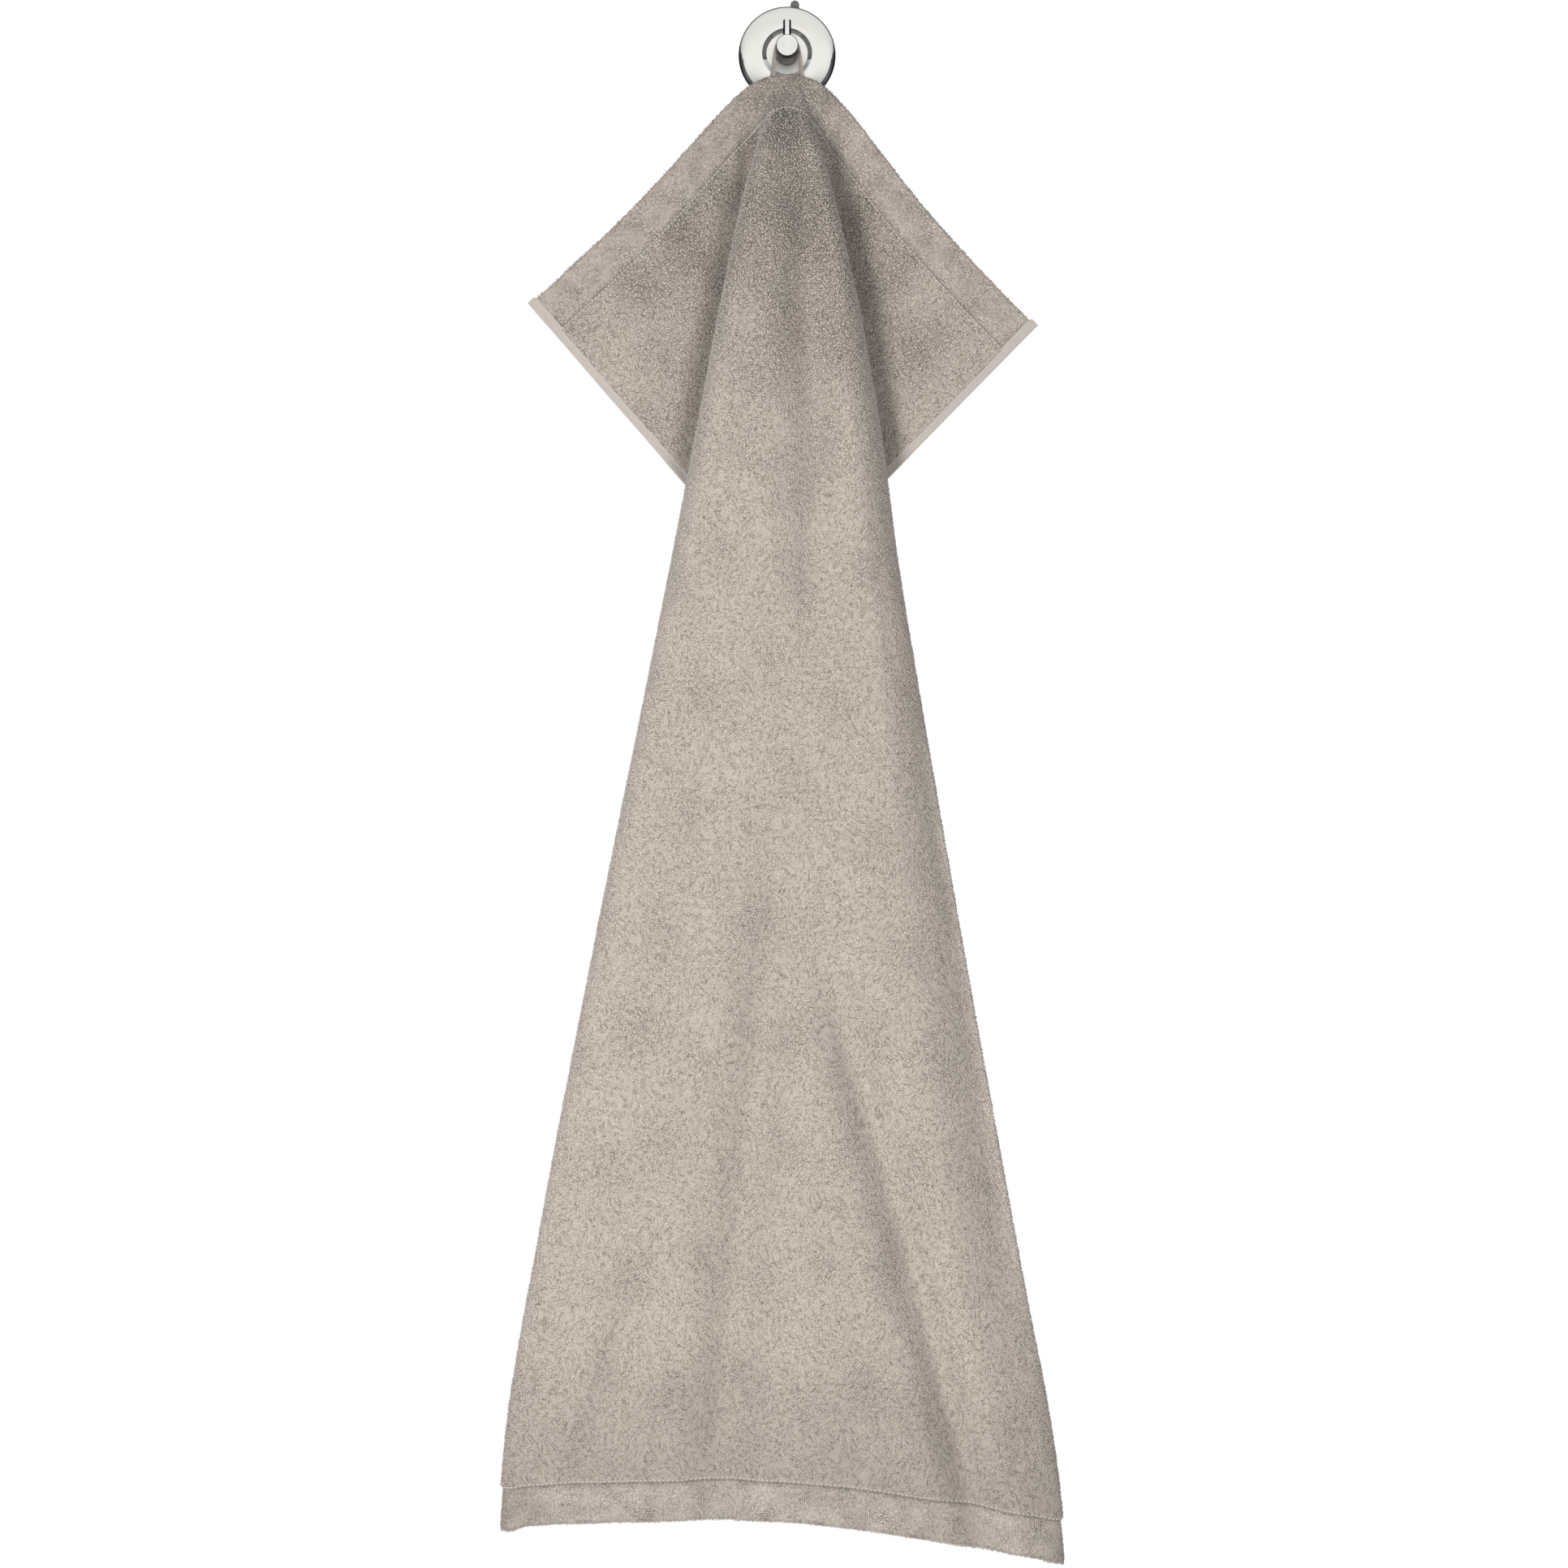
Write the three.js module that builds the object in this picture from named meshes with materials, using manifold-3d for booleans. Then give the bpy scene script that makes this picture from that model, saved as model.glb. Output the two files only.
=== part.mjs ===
// A hand towel that hangs by its tape loop from the peg of a suction-cup wall hook.
//
// Millimetres, +Z up, +X to the right and -Y towards the viewer. The wall is the plane Y = 0, and
// the origin is the centre of the suction cup's flat back.

import * as THREE from 'three';
import { mergeVertices } from 'three/addons/utils/BufferGeometryUtils.js';
import Module from 'manifold-3d';

const wasm = await Module();
wasm.setup();

// Clearance between pieces that touch
const gap = 0.3;

// Hook: a rubber suction cup under a domed steel cover, with a peg and an upright pin
const cup = { radius: 30.5, rimHeight: 1.2, crownRadius: 13, crownHeight: 7.4 };
const tab = { across: 5.3, width: 5.6, thickness: 2, top: 38.4 };
const cover = {
  radius: 33.8, rimRound: 1.6, sheet: 1.1, shoulderRadius: 24, shoulderHeight: 9.2, crestRadius: 17.4,
  crestHeight: 11.4,
};
const recess = { radius: 14.4, floorHeight: 9.2 };
const peg = { radius: 7.7, tip: 37, bevel: 1 };
const pin = { radius: 2.75, depth: 30.6, top: 18.6, bevel: 0.4 };

// Loop: ribbed cotton tape over the peg, whose ends are sewn into the towel's top hem
const tape = { width: 6, thickness: 1.3, pegDepth: 17.5, endAcross: 10.4, endTwist: 24 };

// Towel: one terry sheet, hung from a point of its top edge
const towel = { width: 500, length: 1000, thickness: 3 };
const hang = { across: -3, depth: 20, height: -17 };
// Length that the sheet loses as it comes forward over the top
const shortening = { front: 7, frontWithin: 35, wings: 8.8, wingsWithin: 45 };
// Angle of the top edge from straight down, which it reaches past the rounded top
const edgeAngle = { left: 48.2, right: 44.6, roundedTop: 52, roundedCurve: 1.25 };

// The sheet is gathered along rings round the hang point. Each row is one ring: the front's half
// widths, the round of the side folds, how far the cloth turns in them, and the depths from the
// wall of the front and of the wings.
const rings = [
  { ring: 0, left: 4, right: 4, round: 6, turn: 12, front: 20, wings: 20 },
  { ring: 12, left: 10, right: 10, round: 6, turn: 34, front: 27, wings: 19.4 },
  { ring: 28, left: 15.5, right: 16.5, round: 8, turn: 62, front: 37, wings: 17.5 },
  { ring: 60, left: 22.5, right: 24, round: 9, turn: 112, front: 49, wings: 13.5 },
  { ring: 110, left: 33.5, right: 35.5, round: 11, turn: 154, front: 59, wings: 10.5 },
  { ring: 180, left: 47.5, right: 51, round: 12, turn: 180, front: 63.5, wings: 9.5 },
  { ring: 270, left: 64.5, right: 66.5, round: 12, turn: 180, front: 64, wings: 9 },
  { ring: 350, left: 79.7, right: 77, round: 12, turn: 180, front: 62.5, wings: 9 },
  { ring: 450, left: 99.3, right: 93.6, round: 12, turn: 180, front: 60, wings: 12 },
  { ring: 620, left: 133.5, right: 123.9, round: 12, turn: 180, front: 56, wings: 18 },
  { ring: 820, left: 171.6, right: 161.4, round: 11.5, turn: 180, front: 52, wings: 21 },
  { ring: 960, left: 195.2, right: 188, round: 10.5, turn: 180, front: 50, wings: 22 },
  { ring: 1040, left: 202, right: 196.5, round: 10, turn: 180, front: 49, wings: 22 },
];
// Clearance that each side's inner fold keeps from the middle, and the rings between which the
// wings run out behind the front
const innerClear = 4.5;
const wingsEnd = { from: 380, to: 640 };

// Soft troughs of the front, from one place on the cloth to another; a negative depth is a ridge
const creases = [
  { fromAcross: 7, fromDown: 34, toAcross: 14, toDown: 330, depth: 8, spread: 11 },
  { fromAcross: -14, fromDown: 60, toAcross: -26, toDown: 380, depth: -3, spread: 14 },
  { fromAcross: -14, fromDown: 560, toAcross: -62, toDown: 990, depth: 7, spread: 26 },
  { fromAcross: 20, fromDown: 590, toAcross: 134, toDown: 990, depth: 9, spread: 17 },
  { fromAcross: 98, fromDown: 430, toAcross: 152, toDown: 830, depth: 6, spread: 22 },
  { fromAcross: 8, fromDown: 760, toAcross: 20, toDown: 1010, depth: -5, spread: 34 },
];
// How much lower each bottom corner hangs than the middle
const lowCorner = {
  left: { drop: 6, curve: 3 },
  right: { drop: 31, curve: 1.3 },
};
// How much each length of the side returns is drawn up, towards the bottom
const returnLift = { most: 0.55, from: 450, to: 900 };

const grid = {
  rows: [0, 6, 12, 20, 28, 38, 50, 64, 80, 98, 120, 145, 172, 202, 234, 268, 304, 344, 390, 442,
    500, 562, 628, 696, 766, 836, 900, 948, 972, 986, 1000],
  columns: 54,
  samples: 360,
  evenStep: 22,
  turnStep: 17,
};

const radians = THREE.MathUtils.degToRad;
const clamp = THREE.MathUtils.clamp;
const lerp = THREE.MathUtils.lerp;
const smooth = THREE.MathUtils.smoothstep;

// A column of the ring table at any ring, by a curve that doesn't overshoot its rows
function ringValue(column, ring) {
  const last = rings.length - 1;
  const slope = (i) => (rings[i + 1][column] - rings[i][column]) / (rings[i + 1].ring - rings[i].ring);
  const tangent = (i) => {
    if (i === 0) return slope(0);
    if (i === last) return slope(last - 1);
    const before = slope(i - 1);
    const after = slope(i);
    return before * after > 0 ? (2 * before * after) / (before + after) : 0;
  };
  const at = clamp(ring, 0, rings[last].ring);
  let i = 0;
  while (i < last - 1 && at > rings[i + 1].ring) i += 1;
  const span = rings[i + 1].ring - rings[i].ring;
  const t = (at - rings[i].ring) / span;
  const rise = (3 - 2 * t) * t * t;
  const bend = t * (1 - t) * span;
  return lerp(rings[i][column], rings[i + 1][column], rise)
    + bend * ((1 - t) * tangent(i) - t * tangent(i + 1));
}

// One side's fold at a ring: the front runs out straight, rolls back, returns inwards and rolls
// out again into the wing
function sideFold(side, ring) {
  const rounded = Math.exp(-((ring / edgeAngle.roundedTop) ** edgeAngle.roundedCurve));
  const spread = lerp(edgeAngle[side], 90, rounded);
  const wanted = ring * radians(90 - spread);
  const turn = radians(ringValue('turn', ring));
  const round = ringValue('round', ring);
  const outermost = ringValue(side, ring);
  const front = Math.max(0, outermost - round * Math.sin(Math.min(turn, Math.PI / 2)));
  const rolls = 2 * round * (turn - Math.sin(turn));
  const most = Math.max(0, outermost - 2 * round - innerClear);
  const straight = clamp((wanted - rolls) / (1 - Math.cos(turn)), 0, most);
  const taken = rolls + straight * (1 - Math.cos(turn));
  const wanting = (wanted - taken) * (1 - smooth(ring, wingsEnd.from, wingsEnd.to));
  const length = 2 * round * turn + straight;
  return { front, round, turn, straight, wanting, length };
}

// How far out and how far back a point of the fold lies, at a length along it from the middle
function alongFold(fold, length) {
  const { front, round, turn, straight } = fold;
  if (length <= front) return [length, 0];
  const first = clamp((length - front) / round, 0, turn);
  const middle = clamp(length - front - round * turn, 0, straight);
  const second = clamp((length - front - straight) / round - turn, 0, turn);
  const rest = Math.max(0, length - front - fold.length);
  const out = front + round * Math.sin(first) + middle * Math.cos(turn)
    + round * (Math.sin(turn) - Math.sin(turn - second)) + rest;
  const back = round * (1 - Math.cos(first)) + middle * Math.sin(turn)
    + round * (Math.cos(turn - second) - Math.cos(turn));
  return [out, back];
}

// Depth that the creases of the front add at a place on the cloth
function creaseDepth(across, down) {
  let depth = 0;
  for (const crease of creases) {
    const run = crease.toDown - crease.fromDown;
    const t = (down - crease.fromDown) / run;
    const centre = lerp(crease.fromAcross, crease.toAcross, t);
    const ends = smooth(t, -0.12, 0.3) * (1 - smooth(t, 0.8, 1.25));
    depth += crease.depth * ends * Math.exp(-(((across - centre) / crease.spread) ** 2));
  }
  return depth;
}

// The middle of the sheet's thickness, for a place on the cloth measured from its top edge's middle
function clothPoint(across, down) {
  const u = across - hang.across;
  const side = u < 0 ? 'left' : 'right';
  const sign = Math.sign(u);
  const ring = Math.max(1e-3, Math.hypot(u, down));
  const along = ring * Math.atan2(Math.abs(u), down);
  const fold = sideFold(side, ring);
  const visible = fold.front + fold.length + fold.wanting;
  let length = along;
  if (along >= visible) {
    length = along - fold.wanting;
  } else if (along > fold.front) {
    length = lerp(fold.front, fold.front + fold.length, (along - fold.front) / (visible - fold.front));
  }
  const [out, back] = alongFold(fold, length);
  const fullBack = alongFold(fold, fold.front + fold.length)[1];
  const angle = sign * out / ring;
  const lean = lerp(
    shortening.wings * (1 - Math.exp(-((ring / shortening.wingsWithin) ** 2))),
    shortening.front * (1 - Math.exp(-ring / shortening.frontWithin)),
    Math.cos(angle) ** 2,
  );
  const reach = ring - lean;
  const depth = lerp(ringValue('front', ring), ringValue('wings', ring), back / fullBack);
  const onFront = 1 - smooth(length, fold.front, fold.front + 2 * fold.round);
  const { drop, curve } = lowCorner[side];
  const lower = drop * (down / towel.length) ** 2 * (out / ringValue(side, ring)) ** curve;
  const returned = Math.max(0, Math.min(length - fold.front, fold.length) - fold.round * (Math.PI / 2));
  const lift = returned * returnLift.most * smooth(ring, returnLift.from, returnLift.to);
  return new THREE.Vector3(
    reach * Math.sin(angle),
    -depth + onFront * creaseDepth(across, down),
    hang.height - reach * Math.cos(angle) - lower + lift,
  );
}

// Places across a row, close together where the cloth turns
function columnsOf(down) {
  const half = towel.width / 2;
  const places = Array.from({ length: grid.samples + 1 }, (_, i) => -half + (towel.width * i) / grid.samples);
  const points = places.map((across) => clothPoint(across, down));
  const weight = [0];
  for (let i = 1; i < places.length; i += 1) {
    const step = points[i].clone().sub(points[i - 1]);
    let turned = 0;
    if (i > 1) {
      const before = points[i - 1].clone().sub(points[i - 2]);
      turned = before.angleTo(step);
    }
    weight.push(weight[i - 1] + (places[i] - places[i - 1]) / grid.evenStep
      + Math.min(turned, 0.5) / radians(grid.turnStep));
  }
  const total = weight[weight.length - 1];
  const columns = [];
  let i = 0;
  for (let column = 0; column <= grid.columns; column += 1) {
    const wanted = (total * column) / grid.columns;
    while (i < weight.length - 2 && weight[i + 1] < wanted) i += 1;
    const t = clamp((wanted - weight[i]) / (weight[i + 1] - weight[i]), 0, 1);
    columns.push(lerp(places[i], places[i + 1], t));
  }
  return columns;
}

// The sheet's own direction out of its face, towards the viewer on the front
function clothNormal(across, down) {
  const step = 0.6;
  const acrossStep = clothPoint(across + step, down).sub(clothPoint(across - step, down));
  const downStep = clothPoint(across, down + step).sub(clothPoint(across, Math.max(0, down - step)));
  return acrossStep.cross(downStep).normalize().negate();
}

// One closed sheet with a front face, a back face and its four edges
function towelGeometry() {
  const front = [];
  const back = [];
  for (const down of grid.rows) {
    for (const across of columnsOf(down)) {
      const middle = clothPoint(across, down);
      const out = clothNormal(across, down).multiplyScalar(towel.thickness / 2);
      front.push(middle.clone().add(out));
      back.push(middle.clone().sub(out));
    }
  }
  const across = grid.columns + 1;
  const rows = grid.rows.length;
  const place = (row, column) => row * across + column;
  const behind = front.length;
  const faces = [];
  const quad = (a, b, c, d) => faces.push(a, b, c, a, c, d);
  for (let row = 0; row < rows - 1; row += 1) {
    for (let column = 0; column < grid.columns; column += 1) {
      const a = place(row, column);
      const b = place(row + 1, column);
      const c = place(row + 1, column + 1);
      const d = place(row, column + 1);
      quad(a, b, c, d);
      quad(behind + d, behind + c, behind + b, behind + a);
    }
    const left = [place(row, 0), place(row + 1, 0)];
    const right = [place(row, grid.columns), place(row + 1, grid.columns)];
    quad(left[1], left[0], behind + left[0], behind + left[1]);
    quad(right[0], right[1], behind + right[1], behind + right[0]);
  }
  for (let column = 0; column < grid.columns; column += 1) {
    const top = [place(0, column), place(0, column + 1)];
    const bottom = [place(rows - 1, column), place(rows - 1, column + 1)];
    quad(top[0], top[1], behind + top[1], behind + top[0]);
    quad(bottom[1], bottom[0], behind + bottom[0], behind + bottom[1]);
  }
  return closedGeometry([...front, ...back], faces);
}

function closedGeometry(points, faces) {
  const geometry = new THREE.BufferGeometry();
  geometry.setAttribute('position', new THREE.Float32BufferAttribute(points.flatMap((p) => p.toArray()), 3));
  geometry.setIndex(faces);
  return geometry;
}

// A closed mesh as a solid that can be joined and cut, and back again
function toSolid(geometry) {
  const bare = geometry.clone();
  bare.deleteAttribute('normal');
  bare.deleteAttribute('uv');
  const merged = mergeVertices(bare, 1e-4);
  return new wasm.Manifold(new wasm.Mesh({
    numProp: 3,
    vertProperties: new Float32Array(merged.attributes.position.array),
    triVerts: new Uint32Array(merged.index.array),
  }));
}

function fromSolid(solid) {
  const mesh = solid.getMesh();
  const geometry = new THREE.BufferGeometry();
  geometry.setAttribute('position', new THREE.BufferAttribute(mesh.vertProperties, 3));
  geometry.setIndex(new THREE.BufferAttribute(mesh.triVerts, 1));
  return geometry;
}

// A turned piece about the hook's axis, from pairs of radius and height off the wall
function turned(profile, segments) {
  const points = profile.map(([radius, height]) => new THREE.Vector2(radius, -height)).reverse();
  return new THREE.LatheGeometry(points, segments);
}

// The suction cup, pressed flat on the wall, with the tab that lets air in
function suctionCupGeometry() {
  const disc = turned([
    [0, 0],
    [cup.radius, 0],
    [cup.radius, cup.rimHeight],
    [cup.crownRadius, cup.crownHeight],
    [0, cup.crownHeight],
  ], 40);
  const half = tab.width / 2;
  const outline = new THREE.Shape();
  outline.moveTo(-half, 0);
  outline.lineTo(half, 0);
  outline.lineTo(half, tab.top - half);
  outline.absarc(0, tab.top - half, half, 0, Math.PI, false);
  outline.closePath();
  const strip = new THREE.ExtrudeGeometry(outline, {
    depth: cup.rimHeight, bevelEnabled: false, curveSegments: 10,
  });
  strip.rotateX(Math.PI / 2);
  strip.translate(tab.across, 0, 0);
  return fromSolid(toSolid(disc).add(toSolid(strip)));
}

// The pressed steel cover: a rolled rim, a low dome, and a ring round a recess for the peg
function coverGeometry() {
  const { radius, rimRound, sheet, shoulderRadius, shoulderHeight, crestRadius, crestHeight } = cover;
  const rimLow = tab.thickness;
  const rimCentre = [radius - rimRound, rimLow + rimRound];
  const profile = [[rimCentre[0] - sheet, rimLow]];
  for (let step = 0; step <= 4; step += 1) {
    const angle = radians(-90 + step * 37.5);
    profile.push([rimCentre[0] + rimRound * Math.cos(angle), rimCentre[1] + rimRound * Math.sin(angle)]);
  }
  const start = profile[profile.length - 1];
  for (let step = 1; step <= 5; step += 1) {
    const t = step / 5;
    profile.push([
      lerp(start[0], crestRadius, t),
      lerp(start[1], crestHeight, Math.sin((t * Math.PI) / 2) ** 0.9),
    ]);
  }
  profile.push([crestRadius - 0.8, crestHeight - 0.15]);
  profile.push([recess.radius + 0.5, recess.floorHeight + 0.35]);
  profile.push([recess.radius, recess.floorHeight]);
  profile.push([0, recess.floorHeight]);
  profile.push([0, recess.floorHeight - sheet]);
  profile.push([recess.radius - sheet, recess.floorHeight - sheet]);
  profile.push([crestRadius - 0.6, crestHeight - sheet - 0.4]);
  profile.push([shoulderRadius, shoulderHeight - sheet]);
  profile.push([rimCentre[0] - sheet, rimLow + rimRound]);
  profile.push([rimCentre[0] - sheet, rimLow]);
  return turned(profile, 52);
}

function pegGeometry() {
  const start = recess.floorHeight + gap;
  return turned([
    [0, start],
    [peg.radius, start],
    [peg.radius, peg.tip - peg.bevel],
    [peg.radius - peg.bevel * 0.7, peg.tip],
    [0, peg.tip],
  ], 40);
}

// The pin that keeps a loop on the peg, its foot cut to the peg's round
function pinGeometry() {
  const low = peg.radius / 2;
  const upright = new THREE.LatheGeometry([
    new THREE.Vector2(0, low),
    new THREE.Vector2(pin.radius, low),
    new THREE.Vector2(pin.radius, pin.top - pin.bevel),
    new THREE.Vector2(pin.radius - pin.bevel, pin.top),
    new THREE.Vector2(0, pin.top),
  ], 28);
  upright.rotateX(Math.PI / 2);
  upright.translate(0, -pin.depth, 0);
  const pegSpace = new THREE.CylinderGeometry(peg.radius + gap, peg.radius + gap, peg.tip * 2, 48);
  return fromSolid(toSolid(upright).subtract(toSolid(pegSpace)));
}

// The tape runs up beside the peg, over it and down again, and turns a little towards its ends
function tapeGeometry() {
  const bend = peg.radius + gap + tape.thickness / 2;
  const end = { x: tape.endAcross, z: hang.height + gap };
  const reach = Math.hypot(end.x, end.z);
  const leave = Math.atan2(end.z, end.x) + Math.acos(bend / reach);
  const stations = [];
  const straightSteps = 6;
  const roundSteps = 20;
  const touch = { x: bend * Math.cos(leave), z: bend * Math.sin(leave) };
  for (let step = 0; step < straightSteps; step += 1) {
    const t = 1 - step / straightSteps;
    stations.push({ x: lerp(touch.x, end.x, t), z: lerp(touch.z, end.z, t), facing: leave, down: t });
  }
  for (let step = 0; step <= roundSteps; step += 1) {
    const angle = lerp(leave, Math.PI - leave, step / roundSteps);
    stations.push({ x: bend * Math.cos(angle), z: bend * Math.sin(angle), facing: angle, down: 0 });
  }
  for (let step = straightSteps - 1; step >= 0; step -= 1) {
    const mirror = stations[step];
    stations.push({ x: -mirror.x, z: mirror.z, facing: Math.PI - mirror.facing, down: mirror.down });
  }
  const section = [[0.5, -0.2], [0.5, 0.2], [0.42, 0.5], [-0.42, 0.5], [-0.5, 0.2], [-0.5, -0.2],
    [-0.42, -0.5], [0.42, -0.5]];
  const points = [];
  for (const { x, z, facing, down } of stations) {
    const depth = lerp(tape.pegDepth, hang.depth, down);
    const middle = new THREE.Vector3(x, -depth, z);
    const outwards = new THREE.Vector3(Math.cos(facing), 0, Math.sin(facing));
    const along = new THREE.Vector3(-outwards.z, 0, outwards.x);
    const twist = radians(tape.endTwist) * down * Math.sign(x);
    outwards.applyAxisAngle(along, twist);
    const sideways = new THREE.Vector3().crossVectors(along, outwards);
    for (const [wide, thick] of section) {
      points.push(middle.clone()
        .addScaledVector(sideways, wide * tape.width)
        .addScaledVector(outwards, thick * tape.thickness));
    }
  }
  const faces = [];
  const sides = section.length;
  for (let i = 0; i < stations.length - 1; i += 1) {
    for (let side = 0; side < sides; side += 1) {
      const next = (side + 1) % sides;
      const [a, b] = [i * sides + side, i * sides + next];
      faces.push(a, b + sides, b, a, a + sides, b + sides);
    }
  }
  const last = (stations.length - 1) * sides;
  for (let side = 1; side < sides - 1; side += 1) {
    faces.push(0, side, side + 1);
    faces.push(last, last + side + 1, last + side);
  }
  return closedGeometry(points, faces);
}

const rubber = new THREE.MeshStandardMaterial({ color: 0x4a4a4c, roughness: 0.7, metalness: 0 });
const brushedSteel = new THREE.MeshStandardMaterial({ color: 0xc9c8c4, roughness: 0.35, metalness: 1 });
const polishedSteel = new THREE.MeshStandardMaterial({ color: 0xd2d1cd, roughness: 0.12, metalness: 1 });
const cottonTape = new THREE.MeshStandardMaterial({ color: 0xb3a79c, roughness: 0.95, metalness: 0 });
const terry = new THREE.MeshStandardMaterial({ color: 0xb9aea5, roughness: 1, metalness: 0 });

function piece(name, geometry, material) {
  const mesh = new THREE.Mesh(geometry, material);
  mesh.name = name;
  return mesh;
}

const hook = new THREE.Group();
hook.add(piece('suction_cup', suctionCupGeometry(), rubber));
hook.add(piece('cover', coverGeometry(), brushedSteel));
hook.add(piece('peg', pegGeometry(), brushedSteel));
hook.add(piece('pin', pinGeometry(), polishedSteel));

const cloth = new THREE.Group();
cloth.add(piece('hanging_loop', tapeGeometry(), cottonTape));
cloth.add(piece('towel', towelGeometry(), terry));

const group = new THREE.Group();
group.add(hook, cloth);

export default group;
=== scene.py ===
# Hand towel hanging by its loop from the peg of a suction-cup wall hook.
# Metres, +Z up, +X to the right and -Y towards the viewer; the hook's back is the plane Y = 0.
import math

import bpy
import numpy as np
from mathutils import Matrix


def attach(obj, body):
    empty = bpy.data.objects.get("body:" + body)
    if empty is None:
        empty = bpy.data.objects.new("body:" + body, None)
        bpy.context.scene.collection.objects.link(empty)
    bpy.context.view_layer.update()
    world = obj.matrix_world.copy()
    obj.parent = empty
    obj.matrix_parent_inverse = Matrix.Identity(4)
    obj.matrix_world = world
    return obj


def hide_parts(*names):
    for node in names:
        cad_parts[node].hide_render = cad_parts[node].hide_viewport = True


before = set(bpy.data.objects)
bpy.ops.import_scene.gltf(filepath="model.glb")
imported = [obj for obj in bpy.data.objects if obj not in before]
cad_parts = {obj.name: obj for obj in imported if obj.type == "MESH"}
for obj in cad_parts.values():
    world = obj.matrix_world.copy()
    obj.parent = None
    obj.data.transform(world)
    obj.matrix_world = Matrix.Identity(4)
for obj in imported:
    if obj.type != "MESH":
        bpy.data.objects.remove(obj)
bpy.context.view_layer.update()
mm = 0.001

# The view: the photograph was taken level, from in front of the towel's middle.
# One camera square to the plane Y = 0, whose frame is as high as the whole hanging towel.
view_distance = 2.4
view_across = -2.15 * mm
view_height = -507.6 * mm
frame_pixels = 1932
focal_pixels = 4239
camera = bpy.data.objects.new("camera", bpy.data.cameras.new("camera"))
camera.data.sensor_width = 36
camera.data.lens = camera.data.sensor_width * focal_pixels / frame_pixels
camera.location = (view_across, -view_distance, view_height)
camera.rotation_euler = (math.radians(90), 0, 0)
bpy.context.scene.collection.objects.link(camera)
bpy.context.scene.camera = camera


# The room: a plain pale floor well below the towel, a white sweep all round, and soft studio
# lights, the largest of them to the left of the viewer.
# Polished metal sees the room darker behind it, beside it and below it, as in a light tent.
def join(tree, node, inputs):
    """Sets inputs of a node to values, or joins them to outputs of other nodes."""
    for name, value in inputs.items():
        if isinstance(value, bpy.types.NodeSocket):
            tree.links.new(value, node.inputs[name])
        else:
            node.inputs[name].default_value = value


def added(tree, kind, inputs=None, **settings):
    """A new node in the tree of a material or of the world."""
    node = tree.nodes.new("ShaderNode" + kind)
    for name, value in settings.items():
        setattr(node, name, value)
    join(tree, node, inputs or {})
    return node


def blend(tree, share, dark, light):
    """A colour between two, by a share from 0 to 1."""
    colours = {"Factor": share, "A": dark + (1,), "B": light + (1,)}
    return added(tree, "Mix", colours, data_type="RGBA").outputs["Result"]


def ranged(tree, value, low, high, start=0, end=1, curve="LINEAR"):
    """A value brought from the range start to end into the range low to high."""
    limits = {"Value": value, "From Min": start, "From Max": end, "To Min": low, "To Max": high}
    return added(tree, "MapRange", limits, interpolation_type=curve).outputs["Result"]


def times(tree, first, second):
    return added(tree, "Math", {0: first, 1: second}, operation="MULTIPLY").outputs["Value"]


def bare_material(name):
    material = bpy.data.materials.new(name)
    material.use_nodes = True
    tree = material.node_tree
    return material, tree, tree.nodes["Principled BSDF"]


def pale_floor():
    height = -1.32
    radius = 1.15
    corners = 96
    material, tree, shader = bare_material("pale_floor")
    grain = added(tree, "TexNoise", {"Scale": 9}).outputs["Fac"]
    tone = blend(tree, grain, (0.83, 0.83, 0.82), (0.87, 0.87, 0.86))
    join(tree, shader, {"Base Color": tone, "Roughness": 0.8})
    rim = [
        (radius * math.cos(turn), radius * math.sin(turn), height)
        for turn in np.linspace(0, 2 * math.pi, corners, endpoint=False)
    ]
    mesh = bpy.data.meshes.new("floor")
    mesh.from_pydata(rim, [], [list(range(corners))])
    mesh.materials.append(material)
    floor = bpy.data.objects.new("floor", mesh)
    bpy.context.scene.collection.objects.link(floor)
    floor.visible_glossy = False


def white_room(diffuse_strength):
    """White to the eye, a light tent to polished metal, and softer light to dull surfaces."""
    world = bpy.data.worlds.new("white_room")
    world.use_nodes = True
    tree = world.node_tree
    direction = added(tree, "TexCoord").outputs["Generated"]
    way = added(tree, "SeparateXYZ", {"Vector": direction}).outputs
    sideways = added(tree, "Math", {0: way["X"]}, operation="ABSOLUTE").outputs["Value"]

    def fade(value, start, end, low, high):
        return ranged(tree, value, low, high, start, end, "SMOOTHSTEP")

    before = fade(way["Y"], -0.1, 0.25, 1, 0.08)
    beside = fade(sideways, 0.86, 0.97, 1, 0.1)
    above = fade(way["Z"], -0.55, -0.2, 0.15, 1.1)
    ceiling = fade(way["Z"], -0.05, 0.6, 1, 0.78)
    tent = times(tree, times(tree, before, beside), times(tree, above, ceiling))
    overhead = fade(way["Z"], -0.1, 0.75, diffuse_strength, 0.4 * diffuse_strength)
    at_sides = fade(sideways, 0.35, 0.95, 1, 0.25)
    soft = times(tree, overhead, at_sides)
    ray = added(tree, "LightPath").outputs
    seen = added(tree, "Mix", {"Factor": ray["Is Glossy Ray"], "A": 1, "B": tent}).outputs["Result"]
    strength = added(tree, "Mix", {"Factor": ray["Is Diffuse Ray"], "A": seen, "B": soft})
    sky = {"Color": (1, 1, 1, 1), "Strength": strength.outputs["Result"]}
    join(tree, tree.nodes["Background"], sky)
    bpy.context.scene.world = world


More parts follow.
